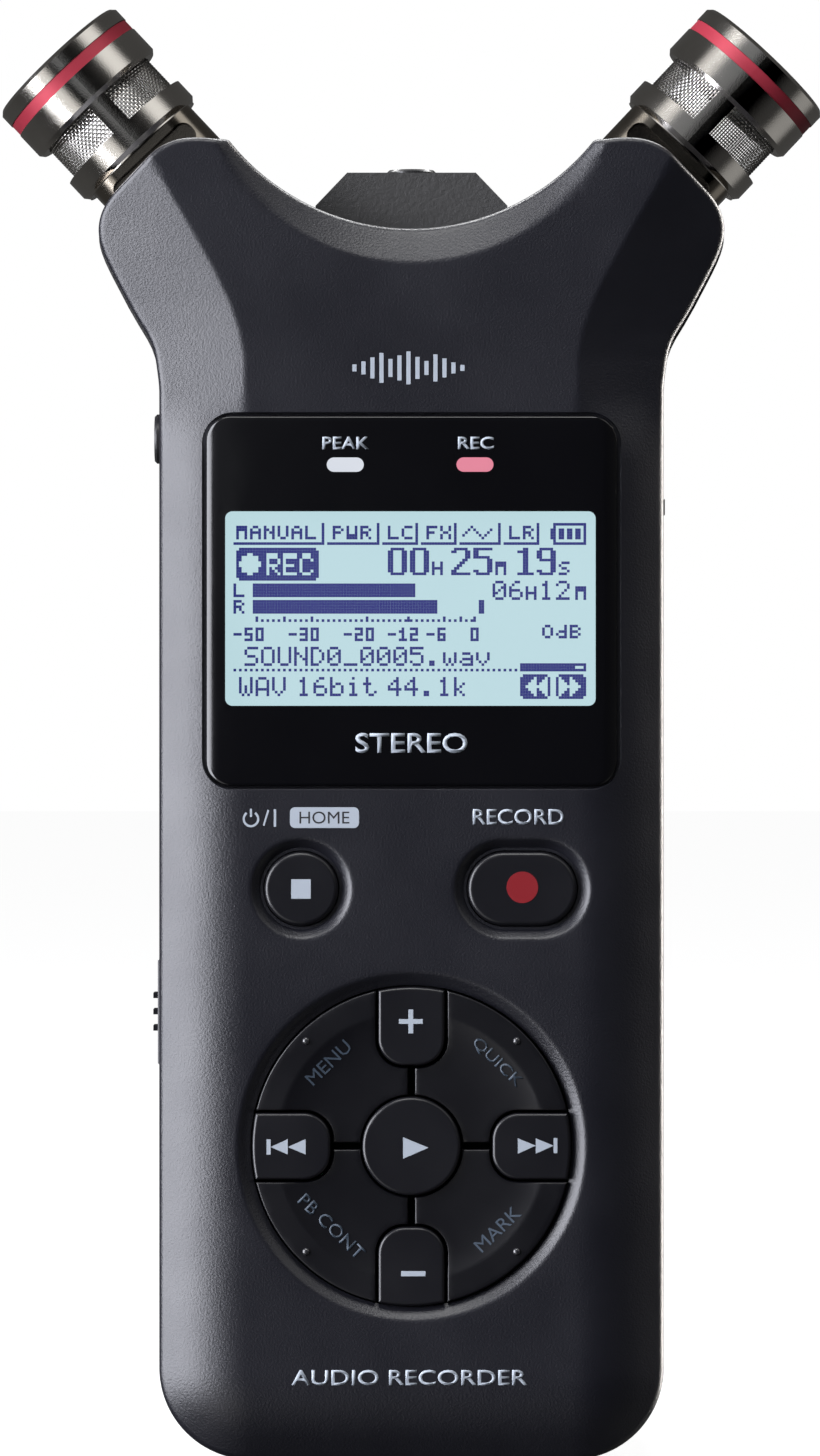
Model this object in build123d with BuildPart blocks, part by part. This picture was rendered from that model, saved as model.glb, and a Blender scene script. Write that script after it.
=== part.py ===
from build123d import *
import math
import os

# Handheld stereo audio recorder with two swivelling microphones.
# Frame: +Z up along the body, front face towards -Y, left is -X, origin in the
# middle of the bottom end. All dimensions in millimetres.

# ---------------------------------------------------------------- dimensions
half_depth = 13.0          # the case runs from y = -13 (front) to y = 13 (rear)
body_half = 27.35          # half width of the straight lower body
corner_radius = 10.0       # bottom corners
wall = 1.8                 # general wall thickness
cavity_half = 25.6         # half width of the main cavity
cavity_top = 127.0         # upper end of the main cavity
cavity_depth = 11.2        # from the joint at y = 0 to the front and rear walls
cavity_side_depth = 9.2    # the same along the side walls

arc_radius = 25.30         # concave top edge between the shoulders
arc_centre_z = 158.70
arc_end_x = 19.58
arc_end_z = 142.68
arc_mid_angle = 25         # degrees from the lowest point to the arc's middle point

pivot_x = 23.10            # microphone swivel axis, parallel to Y
pivot_z = 135.80
pivot_bore = 2.52
rest_angle = 43.3          # outward tilt of the microphones at rest
swing_angle = 88.3         # travel from rest to the crossed position
mic_axis_y = 1.0           # depth of the microphone axis
slot_front_y = -6.3        # front and rear faces of the swivel slot
slot_rear_y = 8.3
arm_half = 7.05            # half width of the swivel arm
arm_clear = 0.30

window_z = 93.05           # middle of the display window
screen_z = 92.20           # middle of the screen opening
lcd_z = 92.3               # middle of the screen module
peak_lamp_x, rec_lamp_x, lamp_z = -7.14, 6.84, 107.7

stop_x, button_z = -11.90, 62.0
record_x = 11.96
pad_z = 34.2               # middle of the round key cluster
pad_recess = 18.80         # radii of the cluster's conical edge, its hole and its keys
pad_hole = 17.40
pad_keys = 17.25
key_gap = 0.3              # slit between neighbouring keys

board_front_y = -5.2
board_rear_y = -4.2
board_gap = 0.05           # between the board and what stands in front of it

jack_y = -1.0              # depth of both jack axes
line_jack_z = 111.0
jack_bore = 1.8
jack_depth = 14.0
jack_opening = 2.85        # radius of the case openings round the jacks

slider_z = 48.3            # hold slider on the left side
slider_length = 11.7
slider_travel = 3.2
slider_play = 0.6
slider_mid_z = slider_z + slider_travel / 2

door_opening_low, door_opening_high = 85.8, 104.9
door_axis_x, door_axis_z = 26.70, 86.75

bay_low, bay_high = 9.6, 65.7
bay_wall = 1.2             # above and below the battery bay
channel_z = 35.5           # middle of the battery cover channel

bush_z = 84.0              # tripod bush on the rear
speaker_z = 105.0

case_screws_at = [(-21.5, 14.5), (21.5, 14.5), (-21.5, 121.0), (21.5, 121.0)]
board_screws_at = [(-20.5, 68.0), (20.5, 68.0), (-13.5, 120.5), (13.5, 120.5)]
pivots_at = [(-pivot_x, pivot_z), (pivot_x, pivot_z)]

os.makedirs("parts", exist_ok=True)


# ------------------------------------------------------------------- helpers
def save(part, name):
    """Label a piece and write its STEP file."""
    part.label = name
    export_step(part, f"parts/{name}.step")


def mirrored(part, plane):
    """Mirror image of a part."""
    with BuildPart() as image:
        mirror(part, about=plane)
    return image.part


def at_y(y):
    """Plane parallel to the front face at depth y; sketches see (x, z), extrudes go to -Y."""
    return Plane.XZ.offset(-y)


mic_dir = Vector(-math.sin(math.radians(rest_angle)), 0, math.cos(math.radians(rest_angle)))


def along_mic(distance):
    """Plane square to the left microphone axis; its x axis looks to the front."""
    origin = Vector(-pivot_x, mic_axis_y, pivot_z) + mic_dir * distance
    return Plane(origin=origin, x_dir=(0, -1, 0), z_dir=mic_dir)


def swing_plane(angle, y):
    """Plane at depth y, centred on the left pivot, x axis at angle outward."""
    tilt = math.radians(angle)
    return Plane(
        origin=(-pivot_x, y, pivot_z),
        x_dir=(-math.sin(tilt), 0, math.cos(tilt)),
        z_dir=(0, 1, 0),
    )


# ------------------------------------------------------------- case outlines
# Half outlines of the two case shells, as points (x, z) on the left side.
waist_front = [(-27.35, 115.6), (-27.6, 118.3), (-28.14, 120.9), (-29.57, 123.5),
               (-31.04, 126.1), (-32.45, 128.8), (-33.5, 131.1), (-33.94, 133.2),
               (-33.5, 135.4), (-31.8, 137.7)]
waist_rear = [(-27.35, 113.0), (-27.75, 118.3), (-28.45, 120.9), (-29.92, 123.5),
              (-31.39, 126.1), (-32.80, 128.8), (-33.85, 131.1), (-34.28, 133.2),
              (-33.75, 135.5), (-31.95, 137.9)]
crown_front = [(-28.3, 141.2), (-26.8, 142.3), (-25.0, 142.95), (-22.9, 143.1)]
crown_rear = [(-28.45, 141.35), (-26.9, 142.4), (-25.0, 143.05), (-22.9, 143.15)]
shoulder_point = (-20.7, 142.95)     # between the crown and the concave edge
arc_end_tangent = (16.02, -19.58)


def half_outline(waist, crown):
    """Edges of a shell's closed half outline."""
    mid = math.radians(arc_mid_angle)
    with BuildLine() as outline:
        bottom = Line((0, 0), (-(body_half - corner_radius), 0))
        corner = RadiusArc(bottom @ 1, (-body_half, corner_radius), corner_radius)
        Line(corner @ 1, waist[0])
        waist_curve = Spline(waist, tangents=[(0, 1), (1, 1)])
        Line(waist_curve @ 1, crown[0])
        crown_curve = Spline(crown, tangents=[(1, 1), (1, 0)])
        shoulder = Spline([crown_curve @ 1, shoulder_point, (-arc_end_x, arc_end_z)],
                          tangents=[(1, 0), arc_end_tangent])
        top_arc = ThreePointArc(
            shoulder @ 1,
            (-arc_radius * math.sin(mid), arc_centre_z - arc_radius * math.cos(mid)),
            (0, arc_centre_z - arc_radius),
        )
        Line(top_arc @ 1, (0, 0))
    return outline.edges()


def cross_section(flat, edge, face_y, edge_y, share_45, share_78):
    """Points (x, y) of a shell's section, from the flat's left end round to its right end."""
    drop = edge_y - face_y
    side = [(flat, face_y),
            (flat + 0.45 * (edge - flat), face_y + share_45 * drop),
            (flat + 0.78 * (edge - flat), face_y + share_78 * drop),
            (edge, edge_y),
            (edge, 0)]
    return [(-x, y) for x, y in side] + side[::-1]


# ------------------------------------------------------------ cutting bodies
# Room in which a swivel arm turns between the two shells (left side).
room_half = arm_half + arm_clear
room_reach = 16
with BuildPart() as swing_room:
    with BuildSketch(at_y(slot_rear_y)):
        with Locations((-pivot_x, pivot_z)):
            Circle(room_half)
    extrude(amount=slot_rear_y - slot_front_y)
    for angle in (rest_angle, 0.0, rest_angle - swing_angle):
        with BuildSketch(swing_plane(angle, slot_front_y)):
            with Locations((room_reach / 2, 0)):
                Rectangle(room_reach, 2 * room_half)
        extrude(amount=slot_rear_y - slot_front_y)
swing_rooms = [swing_room.part, mirrored(swing_room.part, Plane.YZ)]


def cavity(side, flat_half, slab_rear_y, slab_depth):
    """Inside space of one shell; side is -1 for the front and 1 for the rear."""
    joint_y = -side            # 1 mm past the joint
    shallow_y = side * cavity_side_depth
    deep_y = side * cavity_depth
    with BuildPart() as space:
        with BuildSketch(Plane.XY.offset(wall)):
            with BuildLine():
                Polyline((-cavity_half, joint_y), (-cavity_half, shallow_y),
                         (-flat_half, deep_y), (flat_half, deep_y),
                         (cavity_half, shallow_y), (cavity_half, joint_y), close=True)
            make_face()
        extrude(amount=cavity_top - wall)
        # rounds the bottom corners; the slab stands taller than the cavity
        with BuildSketch(at_y(slab_rear_y)):
            with Locations((0, wall + 80)):
                RectangleRounded(2 * cavity_half, 160, corner_radius - wall)
        extrude(amount=slab_depth, mode=Mode.INTERSECT)
    return space.part


with BuildPart() as front_cavity:
    add(cavity(-1, flat_half=18.9, slab_rear_y=2, slab_depth=16))
    # thicker towards the lower end, where the outside falls away
    with BuildSketch(Plane.YZ.offset(-30)):
        with BuildLine():
            Polyline((-12, 1), (-12, 8.0), (-11.2, 8.0), (-8.6, 1), close=True)
        make_face()
    extrude(amount=60, mode=Mode.SUBTRACT)

rear_cavity = cavity(1, flat_half=22.8, slab_rear_y=12, slab_depth=14)

# Openings shared by both shells, which meet at y = 0.
data_opening = (8.6, 3.7, 6)
with BuildPart() as side_openings:
    # line jack collar on the left
    with BuildSketch(Plane.YZ.offset(-30)):
        with Locations((jack_y, line_jack_z)):
            Circle(jack_opening)
    extrude(amount=6)
    # hold slider pocket and its slot on the left
    with Locations((-body_half, 0, slider_mid_z)):
        Box(2.0, 5.4, slider_length + slider_travel + slider_play)
    with Locations((-26, 0, slider_mid_z)):
        Box(3.0, 1.9, 3.4 + slider_travel + slider_play)
    # memory card door on the right, with the bore for its hinge pin
    with BuildSketch(Plane.YZ.offset(25)):
        with Locations((0, (door_opening_low + door_opening_high) / 2)):
            Rectangle(7.4, door_opening_high - door_opening_low)
    extrude(amount=4)
    with BuildSketch(at_y(4.4)):
        with Locations((door_axis_x, door_axis_z)):
            Circle(0.47)
    extrude(amount=8.8)
    # data socket in the bottom end
    with Locations((0, -2.7, 0)):
        Box(*data_opening)

# --------------------------------------------------------------- front shell
# Crowned front with a facet on each shoulder, a chamfered concave top edge,
# dished key recesses and a ledge for the display window.
crown_sections = [
    # z, drop of the middle, flat half width, edge half width, drop of the edge,
    # share of the drop between them at 45 % and at 78 % of the way out
    (-1.0, 3.30, 17.9, 27.6, 3.5, 0.23, 0.65),
    (0.0, 2.90, 17.9, 27.6, 3.5, 0.23, 0.65),
    (2.0, 1.80, 17.9, 27.6, 3.5, 0.23, 0.65),
    (5.0, 0.60, 17.9, 27.6, 3.5, 0.23, 0.65),
    (9.0, 0.0, 17.9, 27.6, 3.5, 0.23, 0.65),
    (110.0, 0.0, 17.9, 27.6, 3.5, 0.23, 0.65),
    (119.0, 0.0, 18.0, 28.2, 3.7, 0.36, 0.70),
    (125.0, 0.0, 19.6, 31.2, 4.2, 0.43, 0.76),
    (133.0, 0.0, 23.6, 34.5, 4.0, 0.43, 0.76),
    (144.0, 0.0, 30.0, 35.5, 2.2, 0.43, 0.76),
]
dish_floor_y = -12.0                  # where the conical recesses meet the key holes
lcd_seat = (45.8, 6.2, 28.2)
window_recess = (45.05, 40.55, 3.25)  # width, height, corner radius
screen_opening = (41.4, 22.4, 0.8)
lamp_opening = (4.18, 1.75)
stop_recess, stop_recess_floor, stop_hole = 5.38, 4.43, 4.13    # radii
record_recess = (14.66, 10.77)        # slots: overall length, width
record_recess_floor = (12.77, 8.87)
record_hole = (12.09, 8.26)
jack_notch = (21.6, 6.5, 16)

with BuildPart() as front_shell:
    for z, middle, flat, edge, drop, share_45, share_78 in crown_sections:
        with BuildSketch(Plane.XY.offset(z)):
            with BuildLine():
                Polyline(*cross_section(flat, edge, middle - half_depth, drop - half_depth,
                                        share_45, share_78), close=True)
            make_face()
    loft(ruled=True)
    with BuildSketch(at_y(1)):
        make_face(half_outline(waist_front, crown_front))
        mirror(about=Plane.YZ)
    extrude(amount=15, mode=Mode.INTERSECT)
    # chamfer along the concave top edge
    with BuildSketch(at_y(-13.4)):
        with Locations((0, 151.65)):
            Circle(23.01)
    with BuildSketch(at_y(-11.4)):
        with Locations((0, arc_centre_z)):
            Circle(arc_radius + 0.15)
    loft(mode=Mode.SUBTRACT)
    add(front_cavity.part, mode=Mode.SUBTRACT)
    # bosses for the case screws and posts for the circuit board
    with BuildSketch(at_y(-0.1)):
        with Locations(*case_screws_at):
            Circle(2.6)
    extrude(amount=11.2)
    with BuildSketch(at_y(board_front_y - board_gap)):
        with Locations(*board_screws_at):
            Circle(2.0)
    extrude(amount=6.0)
    with BuildSketch(at_y(0)):
        with Locations(*case_screws_at):
            Circle(1.0)
    extrude(amount=8.5, mode=Mode.SUBTRACT)
    with BuildSketch(at_y(-5)):
        with Locations(*board_screws_at):
            Circle(0.8)
    extrude(amount=4.6, mode=Mode.SUBTRACT)
    # seat for the screen module behind the window
    with Locations((0, -8.1, lcd_z)):
        Box(*lcd_seat, mode=Mode.SUBTRACT)
    # window recess, screen opening and lamp openings
    with BuildSketch(at_y(-11.9)):
        with Locations((0, window_z)):
            RectangleRounded(*window_recess)
    extrude(amount=2, mode=Mode.SUBTRACT)
    with BuildSketch(at_y(-11)):
        with Locations((0, screen_z)):
            RectangleRounded(*screen_opening)
        with Locations((peak_lamp_x, lamp_z), (rec_lamp_x, lamp_z)):
            SlotOverall(*lamp_opening)
    extrude(amount=2, mode=Mode.SUBTRACT)
    # dished recesses round the two upper buttons
    for y, radius in ((-half_depth, stop_recess), (dish_floor_y, stop_recess_floor)):
        with BuildSketch(at_y(y)):
            with Locations((stop_x, button_z)):
                Circle(radius)
    loft(mode=Mode.SUBTRACT)
    for y, slot in ((-half_depth, record_recess), (dish_floor_y, record_recess_floor)):
        with BuildSketch(at_y(y)):
            with Locations((record_x, button_z)):
                SlotOverall(*slot)
    loft(mode=Mode.SUBTRACT)
    with BuildSketch(at_y(-10)):
        with Locations((stop_x, button_z)):
            Circle(stop_hole)
        with Locations((record_x, button_z)):
            SlotOverall(*record_hole)
        with Locations((0, pad_z)):
            Circle(pad_hole)
    extrude(amount=4, mode=Mode.SUBTRACT)
    # conical edge round the key cluster
    for y, radius in ((-half_depth, pad_recess), (dish_floor_y, pad_hole)):
        with BuildSketch(at_y(y)):
            with Locations((0, pad_z)):
                Circle(radius)
    loft(mode=Mode.SUBTRACT)
    # swivel slots, pivot bores and the notch for the jack block
    for room in swing_rooms:
        add(room, mode=Mode.SUBTRACT)
    with BuildSketch(at_y(-6)):
        with Locations(*pivots_at):
            Circle(pivot_bore)
    extrude(amount=2.7, mode=Mode.SUBTRACT)
    with Locations((0, -3.1, 134)):
        Box(*jack_notch, mode=Mode.SUBTRACT)
    add(side_openings.part, mode=Mode.SUBTRACT)
save(front_shell.part, "front_shell")

# ---------------------------------------------------------------- rear shell
# Battery bay, screw bosses, speaker grille, tripod boss, strap eye and the
# raised block that carries the microphone input.
rear_sections = [
    # z, flat half width, edge half width, drop of the edge,
    # share of that drop at 45 % and at 78 % of the way out
    (-1.0, 23.4, 27.6, 3.4, 0.14, 0.50),
    (112.0, 23.4, 27.6, 3.4, 0.14, 0.50),
    (125.0, 26.0, 31.6, 3.4, 0.14, 0.50),
    (133.0, 28.5, 34.9, 3.4, 0.14, 0.50),
    (144.0, 29.5, 35.9, 3.4, 0.14, 0.50),
]
jack_block = [(-10.45, 127.2), (-10.45, 136.2), (-7.0, 139.8),     # (x, z)
              (7.0, 139.8), (10.45, 136.2), (10.45, 127.2)]
jack_block_space = (6.8, 6.9, 14.2)
bay_mid_z = (bay_low + bay_high) / 2
cover_floor_low, cover_floor_high = 1.2, 73.6
channel_length = 73.0
boss_rear_y = 11.6          # bosses start inside the rear wall
grille_hole = 0.7
grille_pitch = 2.8          # between the rings of grille holes
strap_x = -21.4

with BuildPart() as rear_shell:
    for z, flat, edge, drop, share_45, share_78 in rear_sections:
        with BuildSketch(Plane.XY.offset(z)):
            with BuildLine():
                Polyline(*cross_section(flat, edge, half_depth, half_depth - drop,
                                        share_45, share_78), close=True)
            make_face()
    loft(ruled=True)
    with BuildSketch(at_y(14)):
        make_face(half_outline(waist_rear, crown_rear))
        mirror(about=Plane.YZ)
    extrude(amount=15, mode=Mode.INTERSECT)
    add(rear_cavity, mode=Mode.SUBTRACT)
    # jack block standing in the notch of the front shell
    with BuildSketch(at_y(11.5)):
        with BuildLine():
            Polyline(*jack_block, close=True)
        make_face()
    extrude(amount=17.6)
    with Locations((0, -1.05, 131.1)):
        Box(*jack_block_space, mode=Mode.SUBTRACT)
    with BuildSketch(Plane.XY.offset(137)):
        with Locations((0, jack_y)):
            Circle(jack_opening)
    extrude(amount=4, mode=Mode.SUBTRACT)
    # battery bay and the thick floor under the cover
    with Locations((0, 3.8, bay_mid_z)):
        Box(33.2, 15.4, bay_high - bay_low + 2 * bay_wall)
    with Locations((0, 10.6, (cover_floor_low + cover_floor_high) / 2)):
        Box(38.4, 1.8, cover_floor_high - cover_floor_low)
    # screw bosses
    with BuildSketch(at_y(boss_rear_y)):
        with Locations(*case_screws_at):
            Circle(3.0)
    extrude(amount=11.5)
    # tripod boss and speaker collar
    with BuildSketch(at_y(boss_rear_y)):
        with Locations((0, bush_z)):
            Circle(7.2)
    extrude(amount=6.8)
    with BuildSketch(at_y(boss_rear_y)):
        with Locations((0, speaker_z)):
            Circle(10.6)
            Circle(9.4, mode=Mode.SUBTRACT)
    extrude(amount=4.4)
    with BuildSketch(at_y(14)):
        with Locations((0, bush_z)):
            Circle(5.52)
    extrude(amount=8.5, mode=Mode.SUBTRACT)
    # battery space, cover channel and the grooves for the cover's tongues
    with Locations((0, 5.5, bay_mid_z)):
        Box(30.2, 17.2, bay_high - bay_low, mode=Mode.SUBTRACT)
    with Locations((0, 12.5, channel_z)):
        Box(32.6, 2.0, channel_length, mode=Mode.SUBTRACT)
    with Locations((0, 11.9, channel_z)):
        Box(34.0, 0.8, channel_length, mode=Mode.SUBTRACT)
    # head pockets and screw holes
    with BuildSketch(at_y(13.5)):
        with Locations(*case_screws_at):
            Circle(2.3)
    extrude(amount=7.5, mode=Mode.SUBTRACT)
    with BuildSketch(at_y(8)):
        with Locations(*case_screws_at):
            Circle(1.25)
    extrude(amount=9, mode=Mode.SUBTRACT)
    # speaker grille
    with BuildSketch(at_y(14)):
        with Locations((0, speaker_z)):
            Circle(grille_hole)
            with PolarLocations(grille_pitch, 6):
                Circle(grille_hole)
            with PolarLocations(2 * grille_pitch, 12):
                Circle(grille_hole)
    extrude(amount=4, mode=Mode.SUBTRACT)
    # strap eye: a bar across a pocket near the bottom corner
    with Locations((strap_x, 10.6, 5.8)):
        Box(5.6, 3.0, 5.2)
    with Locations((strap_x, 12.0, 5.7)):
        Box(4.0, 3.4, 3.4, mode=Mode.SUBTRACT)
    with Locations((strap_x, 12.2, 5.7)):
        Box(1.2, 1.2, 3.8)
    # swivel slots, pivot bores and the openings shared with the front shell
    for room in swing_rooms:
        add(room, mode=Mode.SUBTRACT)
    with BuildSketch(at_y(10.7)):
        with Locations(*pivots_at):
            Circle(pivot_bore)
    extrude(amount=2.7, mode=Mode.SUBTRACT)
    add(side_openings.part, mode=Mode.SUBTRACT)
save(rear_shell.part, "rear_shell")

# ----------------------------------------------------------- covers and door
# Battery cover: a plate that slides down out of its channel.
cover_z, cover_width, cover_height, cover_depth = 36.1, 32.2, 71.4, 1.4
tongue_zs = (14, 32, 50, 64)
grip_low_z, grip_pitch, grip_count = 56, 1.6, 5

with BuildPart() as battery_cover:
    with BuildSketch(at_y(half_depth)):
        with Locations((0, cover_z)):
            Rectangle(cover_width, cover_height)
    extrude(amount=cover_depth)
    fillet(battery_cover.edges().filter_by(Axis.Y).group_by(Axis.Z)[-1], 2.0)
    with Locations(*[(side * 16.4, 11.86, z) for side in (-1, 1) for z in tongue_zs]):
        Box(0.9, 0.5, 6.0)
    with Locations(*[(0, 12.95, grip_low_z + grip_pitch * i) for i in range(grip_count)]):
        Box(12, 0.7, 0.7, mode=Mode.SUBTRACT)
save(battery_cover.part, "battery_cover")

# Memory card door: hinged at its lower end, with a finger lip at the top.
door_high = 104.4
door_width = 7.0           # along Y
pin_length = 8.4

with BuildPart() as card_door:
    with Locations((26.75, 0, (door_axis_z + door_high) / 2)):
        Box(1.2, door_width, door_high - door_axis_z)
    for length, radius in ((door_width, 0.65), (pin_length, 0.4)):
        with BuildSketch(at_y(length / 2)):
            with Locations((door_axis_x, door_axis_z)):
                Circle(radius)
        extrude(amount=length)
    with Locations((27.45, 0, 103.5)):
        Box(0.5, 5.6, 1.7)
save(card_door.part, "card_door")

# ------------------------------------------------------------------- display
with BuildPart() as display_window:
    with BuildSketch(at_y(-11.95)):
        with Locations((0, window_z)):
            RectangleRounded(44.35, 39.9, 2.66)
    extrude(amount=1.0)
    fillet(display_window.faces().sort_by(Axis.Y)[0].outer_wire().edges(), 0.5)
save(display_window.part, "display_window")


def lcd_plate(rear_y, width, height, depth):
    """Rectangular layer of the screen module."""
    with BuildPart() as plate:
        with BuildSketch(at_y(rear_y)):
            with Locations((0, lcd_z)):
                Rectangle(width, height)
        extrude(amount=depth)
    return plate.part


save(lcd_plate(rear_y=-9.6, width=43.4, height=25.8, depth=1.5), "lcd_panel")
save(lcd_plate(rear_y=-7.8, width=43.0, height=25.4, depth=1.7), "backlight_guide")

lcd_feet_at = [(-20, 81), (20, 81), (-20, 103.5), (20, 103.5)]

with BuildPart() as lcd_frame:
    with BuildSketch(at_y(-6.8)):
        with Locations((0, lcd_z)):
            RectangleRounded(45.2, 27.6, 0.6)
    extrude(amount=4.3)
    with BuildSketch(at_y(-7.7)):
        with Locations((0, lcd_z)):
            Rectangle(43.8, 26.2)
    extrude(amount=4, mode=Mode.SUBTRACT)
    # four feet standing on the circuit board
    with BuildSketch(at_y(board_front_y - board_gap)):
        with Locations(*lcd_feet_at):
            Rectangle(3, 2)
    extrude(amount=1.6)
save(lcd_frame.part, "lcd_frame")

# Caps and light pipes are held by flanges behind the front wall.
flange_rear_y = -10.3
flange_depth = 0.8


def light_pipe(x):
    """Slot-shaped pipe with a flange behind the front wall."""
    with BuildPart() as pipe:
        with BuildSketch(at_y(-6.3)):
            with Locations((x, lamp_z)):
                SlotOverall(3.98, 1.55)
        extrude(amount=5.55)
        with BuildSketch(at_y(flange_rear_y)):
            with Locations((x, lamp_z)):
                SlotOverall(5.4, 2.4)
        extrude(amount=flange_depth)
    return pipe.part


save(light_pipe(peak_lamp_x), "peak_light_pipe")
save(light_pipe(rec_lamp_x), "rec_light_pipe")

# ---------------------------------------------------------------------- keys
# Every key has a cap and a stem that reaches a switch on the circuit board;
# all but the middle one have a retaining flange behind the front wall.
key_back_y = -9.0
low_cap = 3.7              # cap heights
high_cap = 3.9
stem_end_y = -7.5
stem_length = 1.6
stem_radius = 1.2

with BuildPart() as stop_button:
    with BuildSketch(at_y(key_back_y)):
        with Locations((stop_x, button_z)):
            Circle(4.0)
    extrude(amount=low_cap)
    fillet(stop_button.faces().sort_by(Axis.Y)[0].edges(), 0.5)
    with BuildSketch(at_y(flange_rear_y)):
        with Locations((stop_x, button_z)):
            Circle(4.7)
    extrude(amount=flange_depth)
    with BuildSketch(at_y(stem_end_y)):
        with Locations((stop_x, button_z)):
            Circle(stem_radius)
    extrude(amount=stem_length)
save(stop_button.part, "stop_button")

with BuildPart() as record_button:
    with BuildSketch(at_y(key_back_y)):
        with Locations((record_x, button_z)):
            SlotOverall(11.8, 7.96)
    extrude(amount=low_cap)
    fillet(record_button.faces().sort_by(Axis.Y)[0].edges(), 0.5)
    with BuildSketch(at_y(flange_rear_y)):
        with Locations((record_x, button_z)):
            SlotOverall(13.1, 9.3)
    extrude(amount=flange_depth)
    with BuildSketch(at_y(stem_end_y)):
        with Locations((record_x, button_z)):
            Circle(stem_radius)
    extrude(amount=stem_length)
save(record_button.part, "record_button")

with BuildPart() as play_button:
    with BuildSketch(at_y(key_back_y)):
        with Locations((0, pad_z)):
            Circle(5.32)
    extrude(amount=high_cap)
    fillet(play_button.faces().sort_by(Axis.Y)[0].edges(), 0.4)
    with BuildSketch(at_y(stem_end_y)):
        with Locations((0, pad_z)):
            Circle(stem_radius)
    extrude(amount=stem_length)
save(play_button.part, "play_button")

# The four direction keys share one shape: straight flanks, a rounded inner
# end and an outer end that follows the rim of the cluster.
inner_end = 8.73           # from the middle of the cluster to a key's inner end
key_half = 3.58            # half width of a direction key
rim_key = pad_keys - 0.05
profile_reach = 20         # past the rim, before trimming
pad_flange_outer, pad_flange_inner = 18.2, 16.6
direction_stem = 13.2      # stem distance from the middle of the cluster
corner_stem = 9.0          # stem offset in x and in z


def direction_profile(half, start):
    """Outline of a direction key pointing along x, from its half width and inner end."""
    with BuildSketch(Plane.XY) as outline:
        with Locations(((start + profile_reach) / 2, 0)):
            Rectangle(profile_reach - start, 2 * half)
        fillet(outline.vertices().group_by(Axis.X)[0], half * 0.8)
        Circle(rim_key, mode=Mode.INTERSECT)
    return outline.sketch


with BuildPart() as plus_button:
    with BuildSketch(at_y(key_back_y)):
        with Locations((0, pad_z)):
            add(direction_profile(key_half, inner_end), rotation=90)
    extrude(amount=high_cap)
    fillet(plus_button.faces().sort_by(Axis.Y)[0].edges(), 0.35)
    with BuildSketch(at_y(flange_rear_y)):
        with Locations((0, pad_z)):
            Circle(pad_flange_outer)
            Circle(pad_flange_inner, mode=Mode.SUBTRACT)
        with Locations((0, pad_z + 17.45)):
            Rectangle(6.6, 4, mode=Mode.INTERSECT)
    extrude(amount=flange_depth)
    with BuildSketch(at_y(stem_end_y)):
        with Locations((0, pad_z + direction_stem)):
            Circle(stem_radius)
    extrude(amount=stem_length)
save(plus_button.part, "plus_button")

with BuildPart() as skip_forward_button:
    add(plus_button.part.rotate(Axis((0, 0, pad_z), (0, 1, 0)), 90))
save(skip_forward_button.part, "skip_forward_button")

pad_level = Plane.XY.offset(pad_z)
save(mirrored(plus_button.part, pad_level), "minus_button")
save(mirrored(skip_forward_button.part, Plane.YZ), "skip_back_button")

# The four corner keys fill the quadrants between the direction keys.
cap_inset = 0.38           # from the cluster's axes to the cap and to its dish
dish_inset = 1.3
dish_margin = 1.0          # from a direction key to the dish
pip_offset = 11.37

with BuildPart() as quick_button:
    with BuildSketch(at_y(key_back_y)):
        with Locations((0, pad_z)):
            Circle(rim_key)
            Circle(5.55, mode=Mode.SUBTRACT)
        with Locations((pad_keys / 2 + cap_inset, pad_z + pad_keys / 2 + cap_inset)):
            Rectangle(pad_keys, pad_keys, mode=Mode.INTERSECT)
        with Locations((0, pad_z)):
            add(direction_profile(key_half + key_gap, inner_end - key_gap), mode=Mode.SUBTRACT)
            add(direction_profile(key_half + key_gap, inner_end - key_gap), rotation=90,
                mode=Mode.SUBTRACT)
    extrude(amount=low_cap)
    # shallow dish in the cap
    with BuildSketch(at_y(-12.3)):
        with Locations((0, pad_z)):
            Circle(14.5)
            Circle(6.6, mode=Mode.SUBTRACT)
        with Locations((pad_keys / 2 + dish_inset, pad_z + pad_keys / 2 + dish_inset)):
            Rectangle(pad_keys, pad_keys, mode=Mode.INTERSECT)
        with Locations((0, pad_z)):
            add(direction_profile(key_half + dish_margin, inner_end - dish_margin),
                mode=Mode.SUBTRACT)
            add(direction_profile(key_half + dish_margin, inner_end - dish_margin),
                rotation=90, mode=Mode.SUBTRACT)
    extrude(amount=1, mode=Mode.SUBTRACT)
    with BuildSketch(at_y(flange_rear_y)):
        with Locations((0, pad_z)):
            Circle(pad_flange_outer)
            Circle(pad_flange_inner, mode=Mode.SUBTRACT)
        with Locations((12.5, pad_z + 12.5)):
            Rectangle(14, 14, rotation=45, mode=Mode.INTERSECT)
    extrude(amount=flange_depth)
    with BuildSketch(at_y(stem_end_y)):
        with Locations((corner_stem, pad_z + corner_stem)):
            Circle(stem_radius)
    extrude(amount=stem_length)
    # locating pip near the rim
    with BuildSketch(at_y(-12.2)):
        with Locations((pip_offset, pad_z + pip_offset)):
            Circle(0.44)
    extrude(amount=0.55)
save(quick_button.part, "quick_button")

menu_button = mirrored(quick_button.part, Plane.YZ)
save(menu_button, "menu_button")
save(mirrored(quick_button.part, pad_level), "mark_button")
save(mirrored(menu_button, pad_level), "playback_control_button")

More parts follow.
